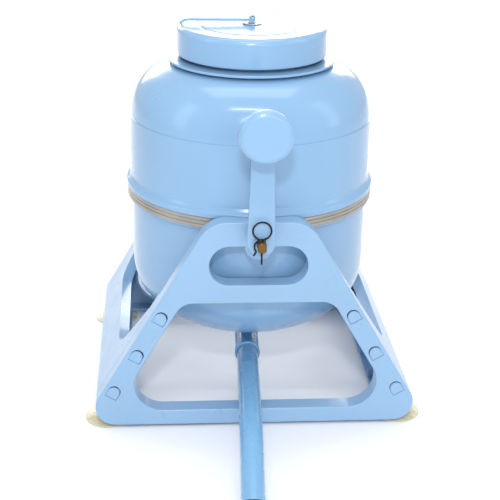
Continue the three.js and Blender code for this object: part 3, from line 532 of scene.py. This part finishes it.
BLUE = (0.222, 0.395, 0.600)
materials = {
    "stand_plastic": moulded_plastic("stand_blue_plastic", (0.245, 0.412, 0.610), (0.26, 0.38)),
    "drum_plastic": moulded_plastic("drum_blue_plastic", BLUE, (0.16, 0.26)),
    "drain_plastic": moulded_plastic("drain_blue_plastic", (0.170, 0.375, 0.600), (0.22, 0.32)),
    "band_steel": rolled_steel("band_steel", (0.42, 0.405, 0.36), (0.02, 0.02, 1.6)),
    "axle_brass": rolled_steel("axle_brass", (0.22, 0.125, 0.045), (0.4, 2.2, 0.4), (0.4, 0.55)),
    "small_steel": rolled_steel("small_steel", (0.62, 0.62, 0.64), (1, 1, 0.2)),
    "clip_wire": wire("clip_wire"),
    "white_nylon": plain_polymer("white_nylon", (0.70, 0.71, 0.69), (0.82, 0.83, 0.82), (0.35, 0.5)),
    "seal_rubber": plain_polymer("seal_rubber", (0.012, 0.012, 0.014), (0.03, 0.03, 0.034),
                                 (0.55, 0.75), 500),
    "cup_vinyl": soft_vinyl("cup_vinyl"),
}

# ------------------------------------------------------------------ drum


def hull_curve(outer, inner, power, steps):
    """A quarter of a rounded hull from outer (r, z) to inner (r, z)."""
    points = []
    for i in range(steps + 1):
        t = i / steps * math.pi / 2
        r = inner[0] + (outer[0] - inner[0]) * max(math.cos(t), 0) ** (2 / power[0])
        z = outer[1] + (inner[1] - outer[1]) * math.sin(t) ** (2 / power[1])
        points.append((r, z, 0))
    return points


def upper_shell():
    power = (2.09, 2.13)
    dome = hull_curve((DRUM_R - 1.3, SHOULDER_Z), DOME_TOP, power, 36)
    inside = hull_curve((DRUM_R - WALL - 1.3, SHOULDER_Z - 1), (MOUTH_INNER, DOME_TOP[1] - WALL), power, 24)
    return turned(rounded([
        (SKIRT_R, SEAM_Z, 0.7),
        (SKIRT_R, SEAM_Z + 5.4, 2.4),
        (SKIRT_R - 3.4, SEAM_Z + 8.4, 2),
        (DRUM_R, SEAM_Z + 11.6, 2),
        (DRUM_R, SHOULDER_Z, 0.9),
        *dome,
        (DOME_TOP[0] - 1.4, FLANGE_LOW, 0.8),
        (FLANGE_R, FLANGE_LOW, 0.9),
        (FLANGE_R, FLANGE_HIGH, 0.9),
        (MOUTH_OUTER, FLANGE_HIGH, 1.6),
        (MOUTH_OUTER, MOUTH_TOP, 1),
        (MOUTH_INNER, MOUTH_TOP, 1),
        *inside[::-1],
        (DRUM_R - WALL, SEAM_Z + 4.3, 0.4),
        (BAND_INNER + 0.1, SEAM_Z + 4.3, 0.2),
        (BAND_INNER + 0.1, SEAM_Z, 0.3),
    ], 15), DRUM_SIDES)


def lower_shell():
    power = (2.46, 2.07)
    bowl = hull_curve((BOWL_R, BOWL_KNUCKLE_Z), (DRAIN_HOLE_R, BOWL_BOTTOM_Z), power, 44)
    inside = hull_curve((BOWL_R - WALL, BOWL_KNUCKLE_Z), (DRAIN_HOLE_R, BOWL_BOTTOM_Z + WALL), power, 30)
    rim = SEAM_Z + 3.1
    seat = BAND_INNER - 0.3
    return turned(rounded([
        (seat, rim, 0.3),
        (seat, BAND_LOW - 0.3, 0.2),
        (BAND_OUTER - 1, BAND_LOW - 0.3, 0.4),
        (BAND_OUTER - 1, BAND_LOW - 1.9, 0.7),
        (BOWL_R, BAND_LOW - 3.6, 2),
        *bowl,
        *inside[::-1],
        (BOWL_R - WALL, rim, 0.4),
        (132.5, rim, 0.2),
        (132.5, rim - 2.2, 0.2),
        (134.9, rim - 2.2, 0.2),
        (134.9, rim, 0.2),
    ], 15), DRUM_SIDES)


def seam_band():
    groove = 0.6
    middles = (BAND_LOW + 4.3, BAND_LOW + 8.1)
    corners = [(BAND_INNER, BAND_LOW, 0.2), (BAND_OUTER, BAND_LOW, 0.5)]
    for z in middles:
        corners += [(BAND_OUTER, z - 0.7, 0.2), (BAND_OUTER - groove, z - 0.3, 0.15),
                    (BAND_OUTER - groove, z + 0.3, 0.15), (BAND_OUTER, z + 0.7, 0.2)]
    corners += [(BAND_OUTER, BAND_HIGH, 0.5), (BAND_INNER, BAND_HIGH, 0.2)]
    return turned(rounded(corners, 30), DRUM_SIDES)


piece("upper_drum", upper_shell(), "drum", "drum_plastic", "upper_drum_shell")
piece("lower_drum", lower_shell(), "drum", "drum_plastic", "lower_drum_shell")
piece("steel_seam_band", seam_band(), "drum", "band_steel", "seam_band")

# ------------------------------------------------------------------ A-frames


def frame_outline(inset):
    top, foot = FRAME_TOP - inset, FRAME_BOTTOM + inset
    corners = [(leg_x(top, inset), top, FRAME_TOP_R - inset),
               (leg_x(foot, inset), foot, FRAME_FOOT_R - inset)]
    return rounded(both_sides(corners), 6)


def window_outline(outset):
    top, foot = WINDOW_TOP + outset, WINDOW_FOOT - outset
    inset = LEG_WIDTH - outset
    corners = [(leg_x(top, inset), top, WINDOW_TOP_R + outset),
               (leg_x(foot, inset), foot, WINDOW_FOOT_R + outset)]
    return rounded(both_sides(corners), 6)


def hand_hole_outline(outset):
    low, high = HAND_HOLE_LOW - outset, HAND_HOLE_HIGH + outset
    end_r = (high - low) / 2
    end_x = HAND_HOLE_HALF + outset - end_r
    tab_r = HAND_TAB_R - outset
    return (arc(end_x, (low + high) / 2, end_r, -90, 90, 24) + arc(0, high, tab_r, 0, -180, 24)
            + arc(-end_x, (low + high) / 2, end_r, 90, 270, 24))


def tab_outline(z, half_width, straight, drop):
    """Half-moon of a snap tab or its hole, leaning with the right leg."""
    turn = Matrix.Rotation(math.atan(LEAN), 2)
    centre = Vector((leg_x(z, TAB_INSET), z))
    points = [(-half_width, -drop), (half_width, -drop)] + arc(0, straight, half_width, 0, 180, 18)
    return [tuple(turn @ Vector(point) + centre) for point in points]


def round_outline(x, z, r, steps=48):
    return arc(x, z, r, 0, 360 - 360 / steps, steps - 1)


def cup_seats(x, y):
    """Round cuts that leave room for a suction cup's dome and neck."""
    return [moved(turned(tube_profile(0, r, -1, top, 0), 48), Matrix.Translation((x, y, 0)))
            for r, top in CUP_SEATS]


def a_frame(half_turn):
    face, back = -FACE_Y, -FACE_Y + FRAME_DEPTH
    tab_holes = []
    for z in TAB_HEIGHTS:
        hole = tab_outline(z, TAB_HOLE_HALF, TAB_HOLE_STRAIGHT, TAB_HOLE_DROP)
        tab_holes += [hole, mirrored(hole)]
    bore = round_outline(0, AXLE_Z, BUSH_BORE_R)
    shell = soft_plate(lambda inset: [frame_outline(inset), window_outline(inset), hand_hole_outline(inset)],
                       face, back, 1.2, 0.5)
    hollow = plate(frame_outline(WALL), face + WALL, back + 1,
                   [window_outline(WALL), hand_hole_outline(WALL)])
    ribs = [block((x - RIB_HALF, x + RIB_HALF), (face + 1, back), (FRAME_BOTTOM + 1, 19.8))
            for x in (-96, -32, 32, 96)]
    ribs += [block((x - RIB_HALF, x + RIB_HALF), (face + 1, back), (WINDOW_TOP + 1, HAND_HOLE_LOW - 1))
             for x in (-40, 0, 40)]
    for z in (105, 62):
        near, far = leg_x(z, LEG_WIDTH) + 1.5, leg_x(z, 0) - 1.5
        ribs += [block(xs, (face + 1, back), (z - RIB_HALF, z + RIB_HALF))
                 for xs in ((near, far), (-far, -near))]
    hub = plate(round_outline(0, AXLE_Z, BUSH_HUB_R), face + 1, back)
    ball = moved(turned([(SWEEP_R * math.sin(math.pi * i / 48), -SWEEP_R * math.cos(math.pi * i / 48))
                         for i in range(49)], 128), Matrix.Translation((0, 0, AXLE_Z)))
    reliefs = []
    for side in (-1, 1):
        reliefs += cup_seats(side * CUP_X, -CUP_Y)
    body = join(cut(shell, hollow), hub, *ribs)
    holes = [plate(outline, face - 1, face + 5) for outline in tab_holes]
    body = cut(body, plate(bore, face - 5, back + 5), ball, *holes, *reliefs)
    return moved(body, Matrix.Rotation(math.pi if half_turn else 0, 4, "Z"))


piece("front_a_frame", a_frame(False), "stand", "stand_plastic", "front_frame")
piece("rear_a_frame", a_frame(True), "stand", "stand_plastic", "rear_frame")

# ------------------------------------------------------------------ side panels


def panel_section(near, far, top, inner_x):
    def foot_r(depth):
        return max(22 - depth, 3)

    low_near, low_far = FRAME_BOTTOM + near, FRAME_BOTTOM + far
    return rounded([
        (leg_x(top, near), top, 0),
        (leg_x(low_near, near), low_near, foot_r(near)),
        (inner_x, low_near, 0),
        (inner_x, low_far, 0),
        (leg_x(low_far, far), low_far, foot_r(far)),
        (leg_x(top, far), top, 0),
    ], 6)


def panel_window(outset):
    """The U-shaped opening, cut square to the leaning panel."""
    low, knee_z, knee = 72.6, 134, 133.5 + outset

    def slope(z):
        return (z - low) / LEG_COS

    outline = rounded(both_sides([(knee, slope(PANEL_TOP + 20), 0), (knee, slope(knee_z), 3),
                                  (100 + outset, -outset, 35)]), 5)
    prism = plate(outline, -40, 40)
    lean = math.atan(LEAN)
    along, up = Vector((0, -1, 0)), Vector((-math.sin(lean), 0, math.cos(lean)))
    inward = up.cross(along)
    basis = Matrix((along, inward, up)).transposed().to_4x4()
    return moved(prism, Matrix.Translation((leg_x(low), 0, low)) @ basis)


def side_panel(half_turn):
    def slab(near, far, y_low, y_high):
        return plate(panel_section(near, far, PANEL_TOP, PANEL_FLANGE_X), y_low, y_high)

    shell = cut(slab(0, PANEL_DEPTH, -PANEL_HALF, PANEL_HALF), panel_window(0))
    core = plate(panel_section(WALL, PANEL_DEPTH + 1, PANEL_TOP + 5, PANEL_FLANGE_X - 5),
                 -PANEL_HALF + WALL, PANEL_HALF - WALL)
    hollow = cut(core, panel_window(WALL))
    ribs = [cut(slab(1, PANEL_DEPTH - 0.01, y - RIB_HALF, y + RIB_HALF), panel_window(0.01))
            for y in (-60, 0, 60)]
    webs, tabs, bosses, stems = [], [], [], []
    for end in (-1, 1):
        ys = sorted((end * PANEL_HALF, end * (PANEL_HALF - WALL)))
        webs.append(slab(0.01, PANEL_WEB, *ys))
        for z in TAB_HEIGHTS:
            reach = sorted((end * (PANEL_HALF - 1), end * (FACE_Y - 0.5)))
            tabs.append(soft_plate(
                lambda inset, z=z: [tab_outline(z, TAB_HALF - inset, TAB_STRAIGHT, TAB_DROP - inset)],
                *reach, 0.5, 0.5))
        ys = sorted((end * (PANEL_HALF - 0.01), end * (CUP_Y - 8)))
        bosses.append(block((CUP_X - 9, CUP_X + 4), ys, (7.3, 13.2)))
        stems.append(moved(turned(tube_profile(0, 3.5, 0, 14, 0), 32),
                           Matrix.Translation((CUP_X, end * CUP_Y, 0))))
        stems += cup_seats(CUP_X, end * CUP_Y)
    body = cut(join(cut(shell, hollow), *ribs, *webs, *tabs, *bosses), *stems)
    return moved(body, Matrix.Rotation(math.pi if half_turn else 0, 4, "Z"))


piece("right_panel", side_panel(False), "stand", "stand_plastic", "right_side_panel")
piece("left_panel", side_panel(True), "stand", "stand_plastic", "left_side_panel")

# ------------------------------------------------------------------ suction cups and bearings


def suction_cup():
    return turned(rounded([
        (0, 2.2, 0), (12, 1.7, 8), (24, 0, 6), (CUP_R, 0, 0.4), (CUP_R, 1, 0.4), (13, 3.4, 20),
        (5.2, 5.1, 0.6),
        (5.2, 7, 0.5), (3.1, 7, 0.2), (3.1, 13.5, 0.2), (4.3, 14.4, 0.3), (3.4, 17, 1), (0, 17.6, 0),
    ], 12), 96)


for fore, y in (("front", -CUP_Y), ("rear", CUP_Y)):
    for hand, x in (("left", -CUP_X), ("right", CUP_X)):
        cup = moved(suction_cup(), Matrix.Translation((x, y, 0)))
        piece(f"{fore}_{hand}_cup", cup, "stand", "cup_vinyl", f"suction_cup_{fore}_{hand}")
    bush = turned_along_y(rounded([
        (5.7, SWEEP_R + 0.5, 0.3), (9, SWEEP_R + 0.5, 0.4), (9, FACE_Y + 0.3, 0.2), (12, FACE_Y + 0.3, 0.2),
        (12, FACE_Y + 1.8, 0.6), (5.7, FACE_Y + 1.8, 0.3),
    ], 30), 72)
    half_turn = Matrix.Rotation(0 if fore == "front" else math.pi, 4, "Z")
    moved(bush, Matrix.Translation((0, 0, AXLE_Z)) @ half_turn)
    piece(f"{fore}_bush", bush, "stand", "white_nylon", f"{fore}_bearing")

# ------------------------------------------------------------------ crank


def arm_outline(inset):
    low, high = ARM_LOW_R - inset, ARM_HIGH_R - inset
    tilt = math.degrees(math.asin((low - high) / THROW))
    return arc(0, KNOB_Z, high, tilt, 180 - tilt, 32) + arc(0, AXLE_Z, low, 180 - tilt, 360 + tilt, 32)


def crank_arm():
    bar = soft_plate(lambda inset: [arm_outline(inset)], -ARM_FRONT, -ARM_BACK, 1.4)
    pocket = plate(arm_outline(WALL), -ARM_FRONT + WALL, -ARM_BACK + 1)
    hub = plate(round_outline(0, AXLE_Z, 12.5), -ARM_FRONT + 1, -ARM_HUB_BACK)
    tip = plate(round_outline(0, KNOB_Z, 7.5), -ARM_FRONT + 1, -ARM_BACK - 0.02)
    rib = block((-1.2, 1.2), (-ARM_FRONT + 1, -ARM_BACK - 0.04), (AXLE_Z, KNOB_Z))
    bore_points = [(max(-4.7, min(4.7, x)), z) for x, z in round_outline(0, AXLE_Z, 5.8)]
    bore = plate(bore_points, -200, -150)
    pin_bore = plate(round_outline(0, KNOB_Z, 3.3), -200, -150)
    return cut(join(cut(bar, pocket), hub, tip, rib), bore, pin_bore)


def crank_knob():
    back, front, r = KNOB_BACK, KNOB_FRONT, KNOB_R
    return turned_along_y(rounded([
        (3.3, ARM_FRONT + 0.5, 0.2), (10.4, ARM_FRONT + 0.5, 0.8), (9, ARM_FRONT + 4, 4), (9, back - 5, 6),
        (14.5, back - 1.2, 5), (22, back, 6), (r, back + 1, 1.2), (r, front - 0.6, 5.4),
        (r - 10, front - 0.4, 30),
        (0, front, 0), (0, front - 9, 0), (4, front - 9, 0.2), (4, front - 13, 0.2), (3.3, front - 13, 0.1),
    ], 9), 128, KNOB_Z)


def catmull(points, steps):
    """A smooth curve through points, as a list of Vectors."""
    ends = [points[0] * 2 - points[1], *points, points[-1] * 2 - points[-2]]
    curve = []
    for a, b, c, d in zip(ends, ends[1:], ends[2:], ends[3:]):
        for k in range(steps):
            t = k / steps
            curve.append(0.5 * (2 * b + (c - a) * t + (2 * a - 5 * b + 4 * c - d) * t * t
                                + (3 * b - a - 3 * c + d) * t ** 3))
    return [*curve, points[-1]]


def crank_clip():
    """One bent wire: a straight leg through the axle, a round eye and a wavy leg that hugs the axle."""
    eye_z, eye_r = AXLE_Z + 16.5, 9.4
    flat = [(0, AXLE_Z + above) for above in (-20, -14, -8, -2, 4.5, 6.4)]
    flat += arc(0, eye_z, eye_r, -58, 238, 14)
    flat += [(-3.3, AXLE_Z + 6.4), (-7.1, AXLE_Z + 2.6), (-7.4, AXLE_Z - 2.4), (-5.9, AXLE_Z - 6),
             (-8.4, AXLE_Z - 10.4)]
    line = catmull([Vector((x, -CLIP_Y, z)) for x, z in flat], 6)
    return swept(line, [(math.cos(t), math.sin(t)) for t in [2 * math.pi * k / 14 for k in range(14)]])


piece("crank_arm_bar", crank_arm(), "drum", "drum_plastic", "crank_arm")
piece("crank_knob_grip", crank_knob(), "knob", "drum_plastic", "crank_knob")
piece("hairpin_clip", crank_clip(), "clip", "clip_wire", "crank_clip", smooth=50)

# ------------------------------------------------------------------ lid


def lid_cap():
    top, roof = LID_TOP, LID_TOP - 2.6
    shell = turned(rounded([
        (LID_R - 2.6, LID_LOW, 0.5), (LID_R, LID_LOW, 0.9), (LID_R - 0.5, top + 0.05, 6.4),
        (62, top + 0.1, 3),
        (60.5, top - 0.5, 2), (58, top - 0.5, 2), (56.5, top + 0.2, 3), (20, top + 0.5, 0),
        (4.6, top + 0.5, 0.3), (4.6, roof - 8, 0.3), (10, roof - 8, 0.5), (10, roof, 1), (59.5, roof, 1),
        (59.5, 392, 0.4), (63.5, 392, 0.4), (63.5, roof, 1), (LID_R - 8, roof, 4), (LID_R - 3.2, roof - 4, 3),
    ], 9), 192)
    ribs = [moved(block((62, LID_R - 2.2), (-1, 1), (MOUTH_TOP + 0.4, roof + 1)),
                  Matrix.Rotation(math.pi / 4 * (i + 0.5), 4, "Z")) for i in range(8)]
    spokes = [moved(block((8, 61), (-1, 1), (roof - 6, roof + 1)),
                    Matrix.Rotation(math.pi / 2 * (i + 0.5), 4, "Z")) for i in range(4)]
    return join(shell, *ribs, *spokes)


def lid_lever():
    """A forked lever with an eccentric cam on each cheek and a tip that curls over the lid's rim."""
    reach, slot_end, half, curl_r, curl = 69.5, 9, 1.6, 12.5, 52
    arm_z = LEVER_Z - 2
    curl_z = arm_z - curl_r

    def bar_outline(inset):
        low, high = curl_r - half + inset, curl_r + half - inset
        tip = math.degrees(inset / curl_r)
        return ([(-slot_end - inset, curl_z + high)] + arc(-reach, curl_z, high, 90, 90 + curl - tip, 14)
                + arc(-reach, curl_z, low, 90 + curl - tip, 90, 14) + [(-slot_end - inset, curl_z + low)])

    bar = soft_plate(lambda inset: [bar_outline(inset)], -LEVER_HALF_WIDTH, LEVER_HALF_WIDTH, 0.6, 0.6, 3)
    cheeks = []
    for ys in ((-LEVER_HALF_WIDTH, -LEVER_FORK_HALF), (LEVER_FORK_HALF, LEVER_HALF_WIDTH)):
        cheeks += [plate(round_outline(0, LEVER_Z - 2.4, 2.9), *ys),
                   plate(round_outline(0, LEVER_Z, 3.3), *ys),
                   block((-slot_end - 1, 0), ys, (arm_z - half + 0.01, arm_z + half - 0.01))]
    return cut(join(bar, *cheeks), plate(round_outline(0, LEVER_Z, LEVER_PIN_R, 24), -10, 10))


def clamp_plate():
    dish = turned(rounded([
        (4.3, 376.2, 0.2), (12, 376.2, 1), (14, 379.2, 1.5), (61, 379.2, 1), (62, 380.2, 0.5), (62, 383.7, 1),
        (4.3, 383.7, 0.3),
    ], 20), 128)
    holes = [moved(turned(tube_profile(0, 11, 370, 390, 0), 40),
                   Matrix.Rotation(math.pi / 2 * i, 4, "Z") @ Matrix.Translation((36, 0, 0)))
             for i in range(4)]
    return cut(dish, *holes)


piece("lid_shell", lid_cap(), "lid", "drum_plastic", "lid_cap")
piece("lever_handle", lid_lever(), "lever", "drum_plastic", "lid_lever")
piece("clamp_disc", clamp_plate(), "clamp", "drum_plastic", "clamp_plate")
piece("lid_seal", turned(rounded([
    (56.5, 384.1, 1.2), (67, 384.1, 1.6), (66.3, 387.8, 3), (67, 391.6, 1.6), (56.5, 391.6, 1.2),
], 20), 128), "lid", "seal_rubber", "lid_gasket")
piece("lever_cam_washer", turned(tube_profile(4.6, 11, 412.9, 413.9), 96), "lid", "small_steel", "cam_washer")

# ------------------------------------------------------------------ drain

DRAIN_PLACE = Matrix.Rotation(DRAIN_TURN, 4, "Z")


def in_barrel(profile, sides=96):
    return turned_along_y(profile, sides, DRAIN_Z)


def drain_body():
    barrel = in_barrel(rounded([
        (0, -16, 0), (13.9, -16, 0.6), (13.9, 55.8, 1), (14.7, 57.2, 0.8), (14.7, 61.6, 1.2), (0, 61.6, 0),
    ], 15))
    neck = turned(rounded([(0, DRAIN_Z, 0), (11, DRAIN_Z, 0), (11, 75, 0.4), (0, 75, 0)], 20), 72)
    flange = turned(rounded([
        (0, 57.6, 0), (13, 57.6, 2), (19, 58.8, 0.8), (19, 62.4, 0.6), (0, 62.4, 0),
    ], 20), 72)
    chamber = in_barrel([(0, -17), (10.8, -17), (10.8, 12), (0, 12)])
    seat = in_barrel([(0, 10), (6.8, 10), (6.8, 16), (0, 16)], 48)
    socket = in_barrel([(0, 15), (12.4, 15), (12.4, 63), (0, 63)])
    passage = turned([(0, DRAIN_Z), (8, DRAIN_Z), (8, 76), (0, 76)], 48)
    return moved(cut(join(barrel, neck, flange), chamber, seat, socket, passage), DRAIN_PLACE)


def drain_tube():
    """Straight over the frame's bottom bar, a gentle bend, then down to a slanted outlet."""
    fall = TUBE_DROP / (TUBE_END - TUBE_BEND)
    down = Vector((0, -1, -fall)).normalized()
    corner, bend = Vector((0, -TUBE_BEND, DRAIN_Z)), 26
    first, last = corner + Vector((0, bend, 0)), corner + down * bend
    line = [Vector((0, -TUBE_START, DRAIN_Z)), Vector((0, -TUBE_START - 80, DRAIN_Z))]
    for k in range(17):
        t = k / 16
        line.append(first * (1 - t) ** 2 + corner * 2 * t * (1 - t) + last * t * t)
    line.append(Vector((0, -TUBE_END - 16, DRAIN_Z - TUBE_DROP - 16 * fall)))
    turns = [2 * math.pi * k / 72 for k in range(72)]
    outer = swept(line, [(TUBE_OUTER * math.cos(t), TUBE_OUTER * math.sin(t)) for t in turns])
    ends = [line[0] + Vector((0, 3, 0)), *line[1:-1], line[-1] + down * 3]
    inner = swept(ends, [(TUBE_INNER * math.cos(t), TUBE_INNER * math.sin(t)) for t in turns])
    slant = moved(block((-30, 30), (-60, 0), (-30, 30)), Matrix.Rotation(math.radians(50), 4, "X"),
                  Matrix.Translation((0, -TUBE_END, DRAIN_Z - TUBE_DROP)))
    groove = in_barrel([(11.3, 43.7), (14, 43.7), (14, 46.7), (11.3, 46.7)])
    return moved(cut(outer, inner, slant, groove), DRAIN_PLACE)


piece("drain_valve_body", drain_body(), "drum", "drain_plastic", "drain_body")
piece("drain_pipe", drain_tube(), "tube", "drain_plastic", "drain_tube")
piece("valve_end_cap", moved(in_barrel(rounded([
    (0, -19, 0), (13.9, -19, 1.4), (13.9, -16.3, 0.4), (10.4, -16.3, 0.2), (10.4, -13, 0.5), (2.8, -13, 0.2),
    (2.8, -9, 0.4), (0, -9, 0),
], 20)), DRAIN_PLACE), "drum", "drain_plastic", "valve_cap")

# ------------------------------------------------------------------ CAD nodes that keep their own shape

replaced = {name for made in bpy.data.objects for name in made.get("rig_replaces", [])}
slots = {row["node"]: row["material_slot"] for row in frame["record"]["subparts"]}
for name, node in frame["nodes"].items():
    if name in replaced:
        continue
    node.data.materials.clear()
    node.data.materials.append(materials[slots[name]])
    node.data.shade_smooth()
    node.data.set_sharp_from_angle(angle=math.radians(EDGE_ANGLE))
    softened = node.modifiers.new("edges", "BEVEL")
    softened.width = 0.25 * MM
    softened.segments = 2
    softened.limit_method = "ANGLE"
    softened.angle_limit = math.radians(40)

# ------------------------------------------------------------------ floor, light and camera


def floor():
    mesh = bpy.data.meshes.new("floor")
    bm = bmesh.new()
    bmesh.ops.create_grid(bm, x_segments=2, y_segments=2, size=6)
    bm.to_mesh(mesh)
    bm.free()
    made = bpy.data.objects.new("floor", mesh)
    bpy.context.scene.collection.objects.link(made)
    n = Nodes("white_table")
    base = n.colours(n.noise(3, 3), [(0.3, (0.86, 0.86, 0.88)), (0.7, (0.90, 0.90, 0.91))])
    rough = n.spread(n.noise(12, 3), 0.5, 0.6)
    mesh.materials.append(n.finish(base, rough, n.bump(n.noise(60, 3), 0.02, 0.3)))
    made.location.z = -0.0003


def area_light(name, place, target, size, power):
    data = bpy.data.lights.new(name, "AREA")
    data.shape = "RECTANGLE"
    data.size, data.size_y = size
    data.energy = power
    light = bpy.data.objects.new(name, data)
    light.location = place
    light.rotation_euler = (Vector(target) - Vector(place)).to_track_quat("-Z", "Y").to_euler()
    bpy.context.scene.collection.objects.link(light)


def camera():
    """Looking down a little, and nearly straight at the crank."""
    pitch, yaw, roll = [math.radians(angle) for angle in CAMERA_TURNS]
    ahead = Vector((-math.sin(yaw) * math.cos(pitch), math.cos(yaw) * math.cos(pitch), -math.sin(pitch)))
    right = ahead.cross(Vector((0, 0, 1))).normalized()
    up = right.cross(ahead)
    tilted = right * math.cos(roll) + up * math.sin(roll)
    upright = tilted.cross(ahead)
    data = bpy.data.cameras.new("camera")
    data.lens = CAMERA_LENS
    data.sensor_width = 36
    made = bpy.data.objects.new("camera", data)
    basis = Matrix((tilted, upright, -ahead)).transposed().to_4x4()
    made.matrix_world = Matrix.Translation(TO_ROW @ Vector(CAMERA_PLACE)) @ basis
    bpy.context.scene.collection.objects.link(made)
    bpy.context.scene.camera = made


floor()
world = bpy.data.worlds.new("studio")
world.use_nodes = True
world.node_tree.nodes["Background"].inputs["Color"].default_value = (0.95, 0.965, 1.0, 1)
world.node_tree.nodes["Background"].inputs["Strength"].default_value = 0.78
bpy.context.scene.world = world
centre = Vector((0, DRUM_Y, 0.2))
area_light("key", centre + Vector((-0.11, -1.24, 0.79)), centre, (0.09, 0.09), 6)
area_light("strip", centre + Vector((-0.1, -1.0, 1.5)), centre, (0.9, 0.05), 5)
area_light("top", centre + Vector((0, 0.2, 1.7)), centre, (1.4, 0.8), 7)
area_light("back", centre + Vector((0, 2.4, 0.75)), centre + Vector((0, 0, 0.2)), (2.6, 0.9), 36)
area_light("front", centre + Vector((0.3, -2.3, 0.35)), centre - Vector((0, 0, 0.1)), (1.6, 0.5), 8)
area_light("left_strip", centre + Vector((-1.5, -0.5, 0.7)), centre, (0.4, 1.4), 2.5)
area_light("right_strip", centre + Vector((1.5, -0.3, 0.7)), centre, (0.4, 1.4), 2)
bpy.context.scene.view_settings.view_transform = "Standard"
camera()
